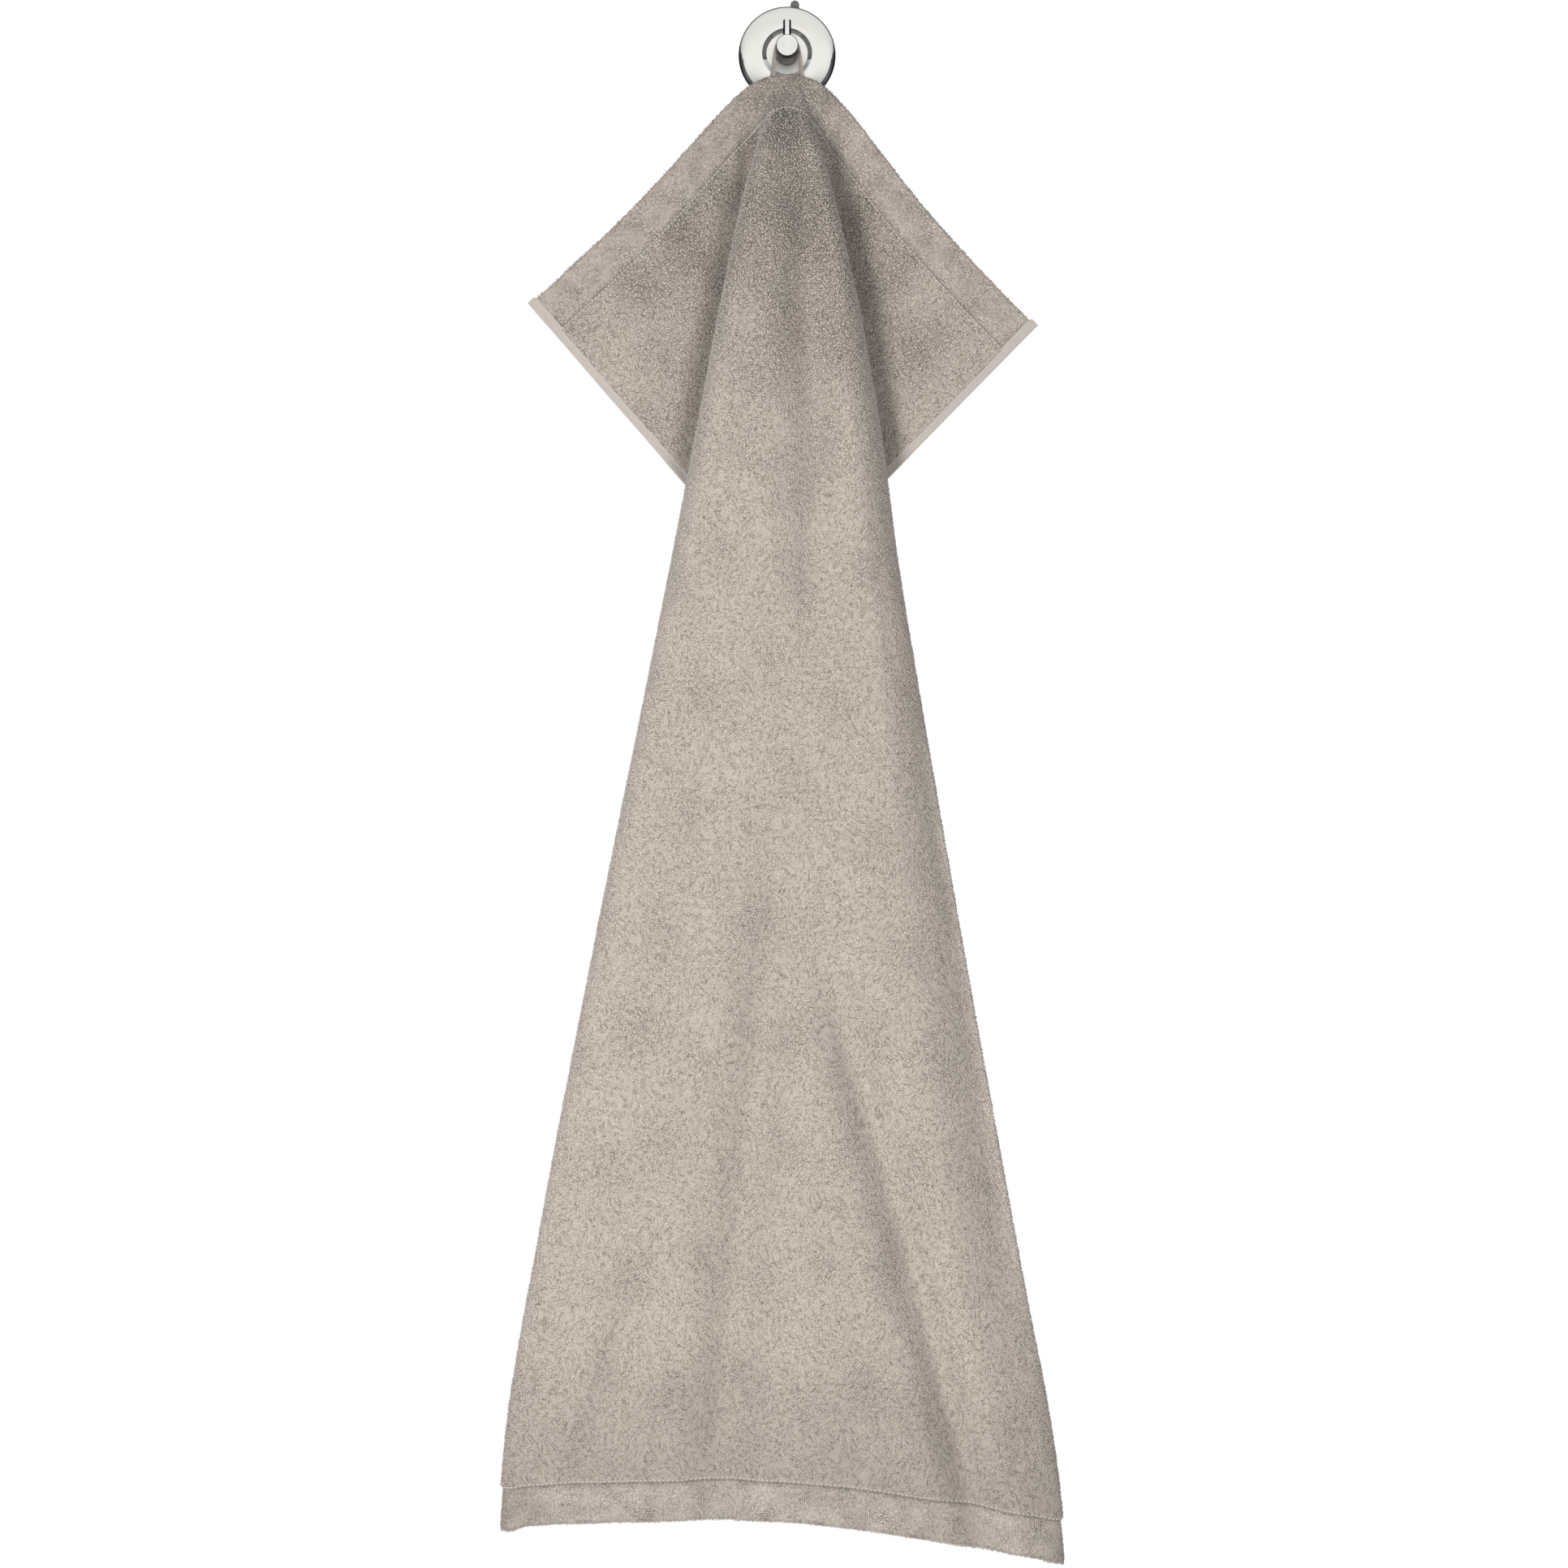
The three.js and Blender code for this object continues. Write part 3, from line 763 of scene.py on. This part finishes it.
def drape_side(side, across, down):
    """One side of the hanging cloth: where it lies, and how far along its fold, in mm."""
    sign = -1 if side == "left" else 1
    u = (across - hang_across) * sign
    ring = np.maximum(1e-3, np.hypot(u, down))
    along = ring * np.arctan2(u, down)
    rounded = np.exp(-((ring / edge_angle["rounded_top"]) ** edge_angle["rounded_curve"]))
    wanted = ring * np.radians(90 - mixed(edge_angle[side], 90, rounded))
    turn = np.radians(ring_value("turn", ring))
    bend = ring_value("round", ring) * (1 + soft_fold[side] * (1 - smooth(ring, 26, 78)))
    outermost = ring_value(side, ring) - hem_step * smooth(down, 971.4, 972.8)
    front = np.maximum(0, outermost - bend * np.sin(np.minimum(turn, math.pi / 2)))
    rolls = 2 * bend * (turn - np.sin(turn))
    most = np.maximum(0, outermost - 2 * bend - inner_clear)
    straight = np.clip((wanted - rolls) / (1 - np.cos(turn)), 0, most)
    taken = rolls + straight * (1 - np.cos(turn))
    wanting = (wanted - taken) * (1 - smooth(ring, *wings_end))
    folded = 2 * bend * turn + straight
    visible = front + folded + wanting
    squeezed = front + (along - front) * folded / (visible - front)
    length = np.where(along >= visible, along - wanting, np.where(along > front, squeezed, along))

    def place(length):
        first = np.clip((length - front) / bend, 0, turn)
        middle = np.clip(length - front - bend * turn, 0, straight)
        second = np.clip((length - front - straight) / bend - turn, 0, turn)
        rest = np.maximum(0, length - front - folded)
        out = np.minimum(length, front) + bend * np.sin(first) + middle * np.cos(turn)
        out = out + bend * (np.sin(turn) - np.sin(turn - second)) + rest
        back = bend * (1 - np.cos(first)) + middle * np.sin(turn)
        return out, back + bend * (np.cos(turn - second) - np.cos(turn))

    out, back = place(length)
    full_back = place(front + folded)[1]
    angle = sign * out / ring
    lean = mixed(
        shortened["wings"] * (1 - np.exp(-((ring / shortened["wings_within"]) ** 2))),
        shortened["front"] * (1 - np.exp(-ring / shortened["front_within"])),
        np.cos(angle) ** 2,
    )
    reach = ring - lean
    depth = mixed(ring_value("front", ring), ring_value("wings", ring), back / full_back)
    on_front = 1 - smooth(length, front, front + 2 * bend)
    share = np.clip(out / outermost, 0, 1)
    sag, starts, ends = turned_side[side]
    sag = sag * (1 + 0.15 * smooth(ring, 450, 850))
    eased = (belly * share**2 + sag * smooth(share, starts, ends)) * smooth(ring, 40, 330)
    depth = depth - (1 - back / full_back) * eased
    beside = smooth(out - outermost, -6, 26) * smooth(length - front, folded, folded + 12)
    depth = depth + wing_rise[side] * beside * smooth(ring, 30, 110) * (1 - smooth(ring, 330, 470))
    depth = depth + uneven(across, down) * smooth(ring, 25, 120)
    drop, curve = low_corner[side]
    lower = drop * (down / towel_length) ** 2 * (np.maximum(0, out) / outermost) ** curve
    lower = lower + hem_drop * smooth(down, 880, 1000)
    from_middle = np.clip(out / outermost, 0, 1) ** 2 * (1 - smooth(out - outermost, -2, 12))
    lower = lower + arch_drop * from_middle * smooth(ring, 12, 30) * (1 - smooth(ring, 42, 105))
    rounded_corner = smooth(share, 0.9, 0.97) - 0.4 * smooth(share, 0.975, 1)
    lower = lower + corner_drop[side] * rounded_corner * smooth(down, 950, 1000)
    returned = np.maximum(0, np.minimum(length - front, folded) - bend * (math.pi / 2))
    lift = returned * return_lift["most"] * smooth(ring, return_lift["from"], return_lift["to"])
    point = np.stack([
        reach * np.sin(angle),
        -depth + on_front * crease_depth(across, down),
        hang_height - reach * np.cos(angle) - lower + lift,
    ], axis=-1)
    return point, length - front, folded


def drape(across, down):
    """The middle of the sheet's thickness for places on the cloth, in mm."""
    across, down = np.broadcast_arrays(np.asarray(across, float), np.asarray(down, float))
    left = across < hang_across
    return np.where(
        left[..., None],
        drape_side("left", across, down)[0],
        drape_side("right", across, down)[0],
    )


def drape_facing(across, down):
    """The cloth's own directions at a place: across, down and out of its face."""
    step = 0.5
    across_way = drape(across + step, down) - drape(across - step, down)
    above = np.where(down > 0, np.maximum(0, down - step), down - step)
    down_way = drape(across, down + step) - drape(across, above)
    out = np.cross(down_way, across_way)
    across_way /= np.linalg.norm(across_way, axis=-1, keepdims=True)
    down_way /= np.linalg.norm(down_way, axis=-1, keepdims=True)
    out /= np.linalg.norm(out, axis=-1, keepdims=True)
    return across_way, down_way, out


# Half of the cloth's thickness: full in the pile, flat in the hems, thin in the selvedges, with
# a groove along each hem seam and a soft edge at each end
half_pile = 1.25
half_hem = 1.2
half_selvedge = 0.75
uneven_pile = 0.13
uneven_hem = 0.05
seam_groove = {"deep": 0.45, "wide": 0.9}
end_rounding = {"deep": 0.5, "wide": 0.8}
border_tongue = 2.2


def from_ends(down):
    return np.minimum(down, towel_length - down)


def half_thickness(across, down):
    from_end = from_ends(down)
    in_hem = 1 - smooth(from_end, hem_width - 0.6, hem_width + 0.6)
    border = mixed(selvedge_width, selvedge_at_hem, in_hem)
    from_side = towel_width / 2 - np.abs(across)
    in_pile = smooth(from_side, border - 0.5, border + 0.7)
    body = half_pile + uneven_pile * ripple(across, down, 9, 5) * (1 - in_hem)
    inner = mixed(body, half_hem + uneven_hem * ripple(across, down, 14, 6), in_hem)
    from_seam = (from_end - hem_width) / seam_groove["wide"]
    groove = seam_groove["deep"] * np.exp(-(from_seam**2)) * in_pile
    rounded = end_rounding["deep"] * np.exp(-np.maximum(0, from_end) / end_rounding["wide"])
    return mixed(half_selvedge, inner, in_pile) - groove - rounded * in_hem


def along_fold(across, down):
    """How far a place lies past the start of its side fold, and how long that fold is, in mm."""
    left = drape_side("left", across, down)
    right = drape_side("right", across, down)
    on_left = across < hang_across
    past = np.where(on_left, left[1], right[1])
    folded = np.where(on_left, left[2], right[2])
    return past, folded


def from_hang_point(across, down):
    return np.hypot(across - hang_across, down)


def openness(across, down):
    """How far the loops stand apart: most round the hang point, and beside each pleat."""
    ring = from_hang_point(across, down)
    near_top = 1 - smooth(ring, 60, 330)
    past, folded = along_fold(across, down)
    on_wing = smooth(past, folded - 10, folded + 10) * (1 - smooth(ring, 380, 520))
    near_pleat = on_wing * np.exp(-np.maximum(0, past - folded) / 70)
    in_pleat = np.exp(-(((past - folded - 8) / 17) ** 2)) * smooth(ring, 40, 80)
    gathered = near_top * (1 - 0.3 * on_wing) + 0.34 * near_pleat - 0.5 * in_pleat
    return np.clip(gathered + 0.16 * ripple(across, down, 60, 31, 8), 0, 1)


def towards_low_hem(down):
    return smooth(down, 860, 968) * smooth(towel_length - hem_width - down, 0, 2)


def hem_end_painted_shade(across, down):
    """The left end of the low hem, which is given painted shade."""
    return smooth(down, 955, 975) * smooth(-across, 140, 225)


def cloth_painted_shade(across, down):
    """Painted shade: how much darker the cloth is made at seams, hang point and low hem."""
    above_seam = np.abs(from_ends(down) - hem_width + 1)
    return np.maximum.reduce([
        0.6 * (1 - smooth(above_seam, 0.5, 1.3)),
        0.7 * (1 - smooth(from_hang_point(across, down), 22, 75)),
        0.3 * towards_low_hem(down),
        0.6 * hem_end_painted_shade(across, down),
    ])


def spaced(marks, step):
    """Places along a line that keep to its marks and are at most a step apart."""
    places = [marks[0]]
    for start, end in zip(marks, marks[1:]):
        count = max(1, math.ceil((end - start) / step))
        places += [start + (end - start) * (i + 1) / count for i in range(count)]
    return np.array(places, float)


def cloth_grid(step):
    """Lines of the mesh over the flat cloth, closer at its selvedges, its seams and its ends."""
    half = towel_width / 2
    side_marks = [half, half - 1.2, half - 4.7, half - 5.6, half - 6.9, half - 8.2]
    across = spaced([-m for m in side_marks] + side_marks[::-1], step)
    end_marks = [0, 0.7, 1.8, 26.4, 27.4, 28.1, 29.2, 31]
    down = spaced(end_marks + [towel_length - m for m in end_marks[::-1]], step)
    return across, down


def mesh_of(name, points, faces):
    """A smooth mesh from its corners in mm and its faces, which all have as many corners."""
    mesh = bpy.data.meshes.new(name)
    mesh.vertices.add(len(points))
    mesh.vertices.foreach_set("co", (points * mm).astype(np.float32).ravel())
    mesh.loops.add(faces.size)
    mesh.loops.foreach_set("vertex_index", faces.astype(np.int32).ravel())
    mesh.polygons.add(len(faces))
    starts = np.arange(0, faces.size, faces.shape[1], dtype=np.int32)
    mesh.polygons.foreach_set("loop_start", starts)
    mesh.polygons.foreach_set("use_smooth", np.ones(len(faces), bool))
    mesh.update(calc_edges=True)
    return mesh


def set_values(mesh, name, values):
    """One value at each corner of a mesh, for its material to read."""
    attribute = mesh.attributes.new(name, "FLOAT", "POINT")
    attribute.data.foreach_set("value", np.ravel(values).astype(np.float32))


def towel_mesh(step):
    """The whole sheet as one closed mesh: face, back and the four edges between them."""
    across, down = cloth_grid(step)
    u, v = np.meshgrid(across, down)
    on_border = smooth(np.abs(u), towel_width / 2 - selvedge_at_hem, towel_width / 2 - 6)
    v = v - border_tongue * on_border * (1 - smooth(v, 0, 9))
    middle = drape(u, v)
    out = drape_facing(u, v)[2] * half_thickness(u, v)[..., None]
    points = np.concatenate([(middle + out).reshape(-1, 3), (middle - out).reshape(-1, 3)])
    index = np.arange(u.size).reshape(u.shape)
    corners = [index[:-1, :-1], index[1:, :-1], index[1:, 1:], index[:-1, 1:]]
    face = np.stack(corners, -1).reshape(-1, 4)
    back = face[:, ::-1] + u.size
    edges = [
        np.stack([line[:-1], line[1:], line[1:] + u.size, line[:-1] + u.size], -1)
        for line in (index[0, :], index[-1, ::-1], index[::-1, 0], index[:, -1])
    ]
    faces = np.concatenate([face, back, *edges])
    mesh = mesh_of("towel_sheet", points, faces)
    places = np.tile(np.stack([u, v], -1).reshape(-1, 2), (2, 1))
    layer = mesh.uv_layers.new(name="cloth")
    layer.data.foreach_set("uv", (places[faces.ravel()] * mm).astype(np.float32).ravel())
    middles = places[faces].mean(axis=1)
    hemmed = from_ends(middles[:, 1]) < hem_width
    border = np.where(hemmed, selvedge_at_hem, selvedge_width)
    woven = towel_width / 2 - np.abs(middles[:, 0]) < border
    kind = np.where(woven, 2, np.where(hemmed, 1, 0)).astype(np.int32)
    mesh.polygons.foreach_set("material_index", kind)
    set_values(mesh, "apart", np.tile(openness(u, v).ravel(), 2))
    # Painted shade on the cloth, for its materials to read
    set_values(mesh, "cloth_painted_shade", np.tile(cloth_painted_shade(u, v).ravel(), 2))
    return mesh


def read_value(tree, name):
    return added(tree, "Attribute", attribute_name=name).outputs["Fac"]


def ground_painted_shade(tree, closed, parted):
    """How light the ground weave is, as painted shade: darker where the loops part and where shade is
    painted on the cloth.
    """
    apart = ranged(tree, read_value(tree, "apart"), closed, parted)
    return times(tree, apart, ranged(tree, read_value(tree, "cloth_painted_shade"), 1, 0.5))


def colour_with_painted_shade(tree, shader, tone, level):
    """Gives a surface its colour, made lighter or darker by a level round 1 that holds painted shade,
    and in some materials random tone too.
    """
    dyed = added(tree, "HueSaturation", {"Color": tone, "Value": level})
    join(tree, shader, {"Base Color": dyed.outputs["Color"]})


# Terry: worm-like loops about 2 mm apart that lean every way, with shade between them
def terry_cotton():
    light, dark = (0.33, 0.292, 0.256), (0.163, 0.138, 0.115)
    material, tree, shader = cotton("terry_cotton")
    drift = added(tree, "TexNoise", {"Vector": on_cloth(tree), "Scale": 26}).outputs["Color"]
    shift = added(tree, "VectorMath", {0: drift, "Scale": 0.03}, operation="SCALE")
    moved = {0: on_cloth(tree, (1, 0.72)), 1: shift.outputs["Vector"]}
    place = added(tree, "VectorMath", moved, operation="ADD").outputs["Vector"]
    loops = noise(tree, place, 430, detail=3, roughness=0.6, distortion=0.4)
    worn = ranged(tree, noise(tree, on_cloth(tree), 14, 3), 0.93, 1.07)
    tone = blend(tree, ranged(tree, loops, 0, 1, 0.3, 0.6), dark, light)
    colour_with_painted_shade(tree, shader, tone, times(tree, worn, ground_painted_shade(tree, 1.3, 0.58)))
    relief(tree, shader, loops, 0.75, 1.1)
    return material


# Hem cloth: short loops pressed flat by the fold, in fine ribs that run with the warp
def hem_cotton():
    light, dark = (0.47, 0.418, 0.37), (0.193, 0.165, 0.142)
    material, tree, shader = cotton("hem_cotton")
    rib = {"Vector": on_cloth(tree), "Scale": 210, "Distortion": 1.6}
    rib.update({"Detail": 3, "Detail Scale": 160})
    ribs = added(tree, "TexWave", rib, bands_direction="X").outputs["Fac"]
    nap = noise(tree, on_cloth(tree, (1, 0.6)), 560, 4)
    felted = noise(tree, on_cloth(tree), 75, 4)
    ribbed = added(tree, "Mix", {"Factor": 0.85, "A": ribs, "B": nap}).outputs["Result"]
    height = added(tree, "Mix", {"Factor": 0.45, "A": ribbed, "B": felted}).outputs["Result"]
    tone = blend(tree, ranged(tree, height, 0, 1, 0.34, 0.6), dark, light)
    colour_with_painted_shade(tree, shader, tone, ground_painted_shade(tree, 0.9, 0.84))
    relief(tree, shader, ribbed, 0.7, 0.7)
    return material


# Selvedge: close plain weave without loops, smoother and paler than the rest
def selvedge_cotton():
    light, dark = (0.49, 0.446, 0.407), (0.43, 0.388, 0.352)
    material, tree, shader = napped_cotton("selvedge_cotton", light, dark, 300)
    weave = added(tree, "TexChecker", {"Vector": on_cloth(tree), "Scale": 2400}).outputs["Fac"]
    relief(tree, shader, weave, 0.2, 0.12)
    return material


grid_step = 3.35
cloths = (terry_cotton(), hem_cotton(), selvedge_cotton())
towel = piece_of("towel_sheet", towel_mesh(grid_step), *cloths)
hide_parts("towel")


# The pile: single loops of yarn that stand on the ground weave and lean over one another.
# Each is a small grain of cotton with its foot in the sheet. On the hems the grains are lower
# and lie more evenly, and the selvedges have none.
grain_foot = 0.7

# Each pair is for where the loops stand close and for where they stand apart
width_share = (1.12, 1.02)
height_share = (0.8, 1.05)
height_spread = (0.2, 0.6)
# Painted shade at the grains' feet: how light a foot is next to its tip
foot_lightness = (0.6, 0.06)
tone_spread = (0.045, 0.18)


def pile_cotton():
    """Pale at the tips and dark at the feet as painted shade, of twisted fibres, each grain in its
    own tone.
    """
    light, dark = (0.69, 0.621, 0.559), (0.175, 0.143, 0.119)
    material, tree, shader = cotton("pile_cotton")
    twist = noise(tree, on_object(tree), 1500)
    fibres = ranged(tree, twist, 0.62, 1.05, 0.35, 0.65)
    height = ranged(tree, read_value(tree, "tip"), 0, 1, 0.05, 0.8, "SMOOTHSTEP")
    tone = blend(tree, times(tree, height, fibres), dark, light)
    warmth = ranged(tree, noise(tree, on_object(tree), 22, 3), 0, 1, 0.35, 0.65)
    tint = blend(tree, warmth, (0.985, 1, 0.985), (1, 0.965, 0.955))
    both = {"Factor": 1, "A": tone, "B": tint}
    tinted = added(tree, "Mix", both, data_type="RGBA", blend_type="MULTIPLY")
    colour_with_painted_shade(tree, shader, tinted.outputs["Result"], read_value(tree, "grain_tone"))
    relief(tree, shader, twist, 0.35, 0.3)
    return material


def pile_places(pitch, loose, seed, wanted):
    """Scattered places on the flat cloth, one in each cell of a brick-laid grid."""
    draw = np.random.default_rng(seed)
    columns = int(towel_width / pitch)
    count = int((towel_length - 2) / pitch)
    i, j = np.meshgrid(np.arange(columns), np.arange(count))
    across = -towel_width / 2 + (i + 0.25 + 0.5 * loose * (j % 2)) * pitch
    down = 1 + (j + 0.5) * pitch
    across = across + loose * draw.uniform(-0.38, 0.38, i.shape) * pitch
    down = down + draw.uniform(-0.38, 0.38, i.shape) * pitch
    keep = wanted(across, down)
    return across[keep], down[keep]


def on_face(across, down, side):
    """Places on one face of the cloth, with the ways across it, down it and out of it."""
    across_way, down_way, out = drape_facing(across, down)
    out = out * side
    half = half_thickness(across, down)[:, None]
    return drape(across, down) + out * half, across_way, down_way, out


def grain_tones(across, down, apart, draw):
    """A tone for each grain: even in the body, patchy on the hems, with painted shade low down."""
    hemmed = in_hems(across, down)
    level = 0.92 + mixed(*tone_spread, apart) * draw.uniform(-1, 1, len(across))
    patches_and_painted_shade = 0.07 + 0.07 * ripple(across, down, 26, 33) + 0.05 * ripple(across, down, 7, 34)
    patches_and_painted_shade = patches_and_painted_shade + 0.1 * draw.uniform(-1, 1, len(across))
    # Painted shade round the hang point and at the low hem's left end
    patches_and_painted_shade = patches_and_painted_shade + 0.12 * (1 - smooth(from_hang_point(across, down), 20, 75))
    patches_and_painted_shade = patches_and_painted_shade + 0.2 * hem_end_painted_shade(across, down)
    # Painted shade where the loops part and towards the low hem
    in_pile = 0.05 * apart + 0.18 * smooth(down, 860, 975)
    return level - np.where(hemmed, patches_and_painted_shade, in_pile)


def grain_mesh(name, across, down, side, long, wide, tall, loose, seed):
    """A grain for each place: a pointed foot of four corners and one rounded tip."""
    draw = np.random.default_rng(seed)
    count = len(across)
    apart = openness(across, down)
    surface, across_way, down_way, out = on_face(across, down, side)
    leaning = 1.1 * ripple(across, down, 55, 21, 8) + draw.normal(0, 0.5, count) - 0.7
    lie = loose * leaning + math.pi / 2
    along = across_way * np.cos(lie)[:, None] + down_way * np.sin(lie)[:, None]
    beside = np.cross(out, along)
    length = long * draw.uniform(0.75, 1.25, count)[:, None] / 2
    width = wide * (mixed(*width_share, apart) * draw.uniform(0.8, 1.2, count))[:, None] / 2
    foot = surface - out * grain_foot
    lean = draw.normal(0, 0.25, count)[:, None]
    uneven_height = mixed(*height_spread, apart) * draw.uniform(-1, 1, count)
    tall = tall * (mixed(*height_share, apart) + uneven_height)[:, None]
    tip = surface + out * tall + along * lean * long * 0.5
    ends = (along * length, beside * width)
    corners = [foot + ends[0], foot + ends[1], foot - ends[0], foot - ends[1], tip]
    order = np.array([[0, 1, 4], [1, 2, 4], [2, 3, 4], [3, 0, 4]])
    faces = (np.arange(count)[:, None, None] * len(corners) + order).reshape(-1, 3)
    mesh = mesh_of(name, np.stack(corners, 1).reshape(-1, 3), faces)
    # Painted shade: each grain's feet are darker than its tip
    feet = mixed(*foot_lightness, apart) * ~in_hems(across, down)
    set_values(mesh, "tip", np.stack([feet] * 4 + [np.ones(count)], 1))
    tones = grain_tones(across, down, apart, draw)
    set_values(mesh, "grain_tone", np.repeat(tones, len(corners)))
    return mesh


def in_body(across, down):
    inside = np.abs(across) < towel_width / 2 - selvedge_width - 0.9
    return inside & (down > hem_width + 1) & (down < towel_length - hem_width - 1)


def in_hems(across, down):
    inside = np.abs(across) < towel_width / 2 - selvedge_at_hem - 1
    from_end = from_ends(down)
    return inside & (from_end > 1) & (from_end < hem_width - 1.6)


def seen_from_front(across, down):
    past, folded = along_fold(across, down)
    return in_body(across, down) & ((past < 22) | (past > folded - 30))


def turned_away(across, down):
    return in_body(across, down) & ~seen_from_front(across, down)


# For each cover of pile: its name, its side of the sheet, where it is, its pitch, the length,
# width and height of a grain, and how loosely the grains lie
pile_covers = (
    ("front_pile", 1, seen_from_front, 1.62, 2.6, 1.6, 0.85, 1),
    ("side_pile", 1, turned_away, 2.7, 4.2, 2.7, 0.85, 1),
    ("back_pile", -1, in_body, 3.6, 5.7, 3.7, 0.85, 1),
    ("hem_front_pile", 1, in_hems, 1.6, 3.3, 1.9, 0.6, 0.6),
    ("hem_back_pile", -1, in_hems, 2.4, 4.6, 2.9, 0.6, 0.6),
)
def yarn_piece(name, mesh, material):
    piece_of(name, mesh, material)


grains_in_a_piece = 46000
coarser = 1
pile = pile_cotton()
for number, (name, side, wanted, pitch, long, wide, tall, loose) in enumerate(pile_covers):
    across, down = pile_places(pitch * coarser, loose, 40 + number, wanted)
    size = (long * coarser, wide * coarser, tall)
    parts = math.ceil(len(across) / grains_in_a_piece)
    for part, chosen in enumerate(np.array_split(np.arange(len(across)), parts)):
        title = f"{name}_{part + 1}"
        mesh = grain_mesh(title, across[chosen], down[chosen], side, *size, loose, 60 + part)
        yarn_piece(title, mesh, pile)


# Hem seams and raw ends: each hem is sewn down with a row of pale lock stitches, on both faces,
# and short loops of the weave stand out along the two ends of the cloth
stitch_pitch = 3.1
stitch_size = {"long": 2.8, "wide": 1.3, "tall": 1.1, "lie": 0, "sink": 0.3}
stitches_from_side = 4
stitch_rows = {"top_hem_stitches": hem_width, "low_hem_stitches": towel_length - hem_width}
end_loop_pitch = 1.5
end_loop_size = {"long": 2.6, "wide": 1.15, "tall": 0.15, "lie": math.pi / 2, "sink": 1.9}
end_loops_from_side = 8
end_loop_rows = {"top_end_loops": (0.25, -1), "low_end_loops": (towel_length - 0.25, 1)}


def sewn_mesh(name, across, down, side, long, wide, tall, lie, sink):
    """Low mounds of thread in a row, each long one way across or down the cloth."""
    count = len(across)
    surface, across_way, down_way, out = on_face(across, down, side)
    along = across_way * math.cos(lie) + down_way * math.sin(lie)
    beside = np.cross(out, along)
    ends = ((-0.5, 0), (-0.3, 0.5), (0.3, 0.5), (0.5, 0), (0.3, -0.5), (-0.3, -0.5))
    corners = [surface - out * sink + along * (a * long) + beside * (b * wide) for a, b in ends]
    corners += [surface + out * tall + along * (a * 0.5 * long) for a in (-0.5, 0.5)]
    order = [[0, 5, 6], [1, 0, 6], [2, 1, 6], [7, 2, 6]]
    order += [[3, 2, 7], [4, 3, 7], [5, 4, 7], [6, 5, 7]]
    faces = (np.arange(count)[:, None, None] * len(corners) + np.array(order)).reshape(-1, 3)
    if side > 0:
        faces = faces[:, ::-1]
    mesh = mesh_of(name, np.stack(corners, 1).reshape(-1, 3), faces)
    # Painted shade: darker feet than tops, read by the pile material of the end loops
    set_values(mesh, "tip", np.tile([0.3] * 6 + [0.9] * 2, count))
    set_values(mesh, "grain_tone", np.full(len(corners) * count, 0.9))
    return mesh


def sewing_thread():
    light, dark = (0.6, 0.55, 0.505), (0.46, 0.415, 0.375)
    material, tree, shader = napped_cotton("sewing_thread", light, dark, 700)
    wound = {"Vector": on_object(tree), "Scale": 900, "Distortion": 2}
    relief(tree, shader, added(tree, "TexWave", wound).outputs["Fac"], 0.4, 0.15)
    return material


def places_across(from_side, pitch):
    return np.arange(-towel_width / 2 + from_side, towel_width / 2 - from_side, pitch)


thread = sewing_thread()
for name, row in stitch_rows.items():
    places = places_across(stitches_from_side, stitch_pitch)
    down = np.full(len(places), float(row))
    for side, face in ((1, "front"), (-1, "back")):
        title = f"{name}_{face}"
        yarn_piece(title, sewn_mesh(title, places, down, side, **stitch_size), thread)

for name, (row, way) in end_loop_rows.items():
    draw = np.random.default_rng(80 + way)
    places = places_across(end_loops_from_side, end_loop_pitch)
    places = places + draw.uniform(-0.3, 0.3, len(places))
    down = row + way * draw.uniform(-0.5, 0.45, len(places))
    yarn_piece(name, sewn_mesh(name, places, down, 1, **end_loop_size), pile)
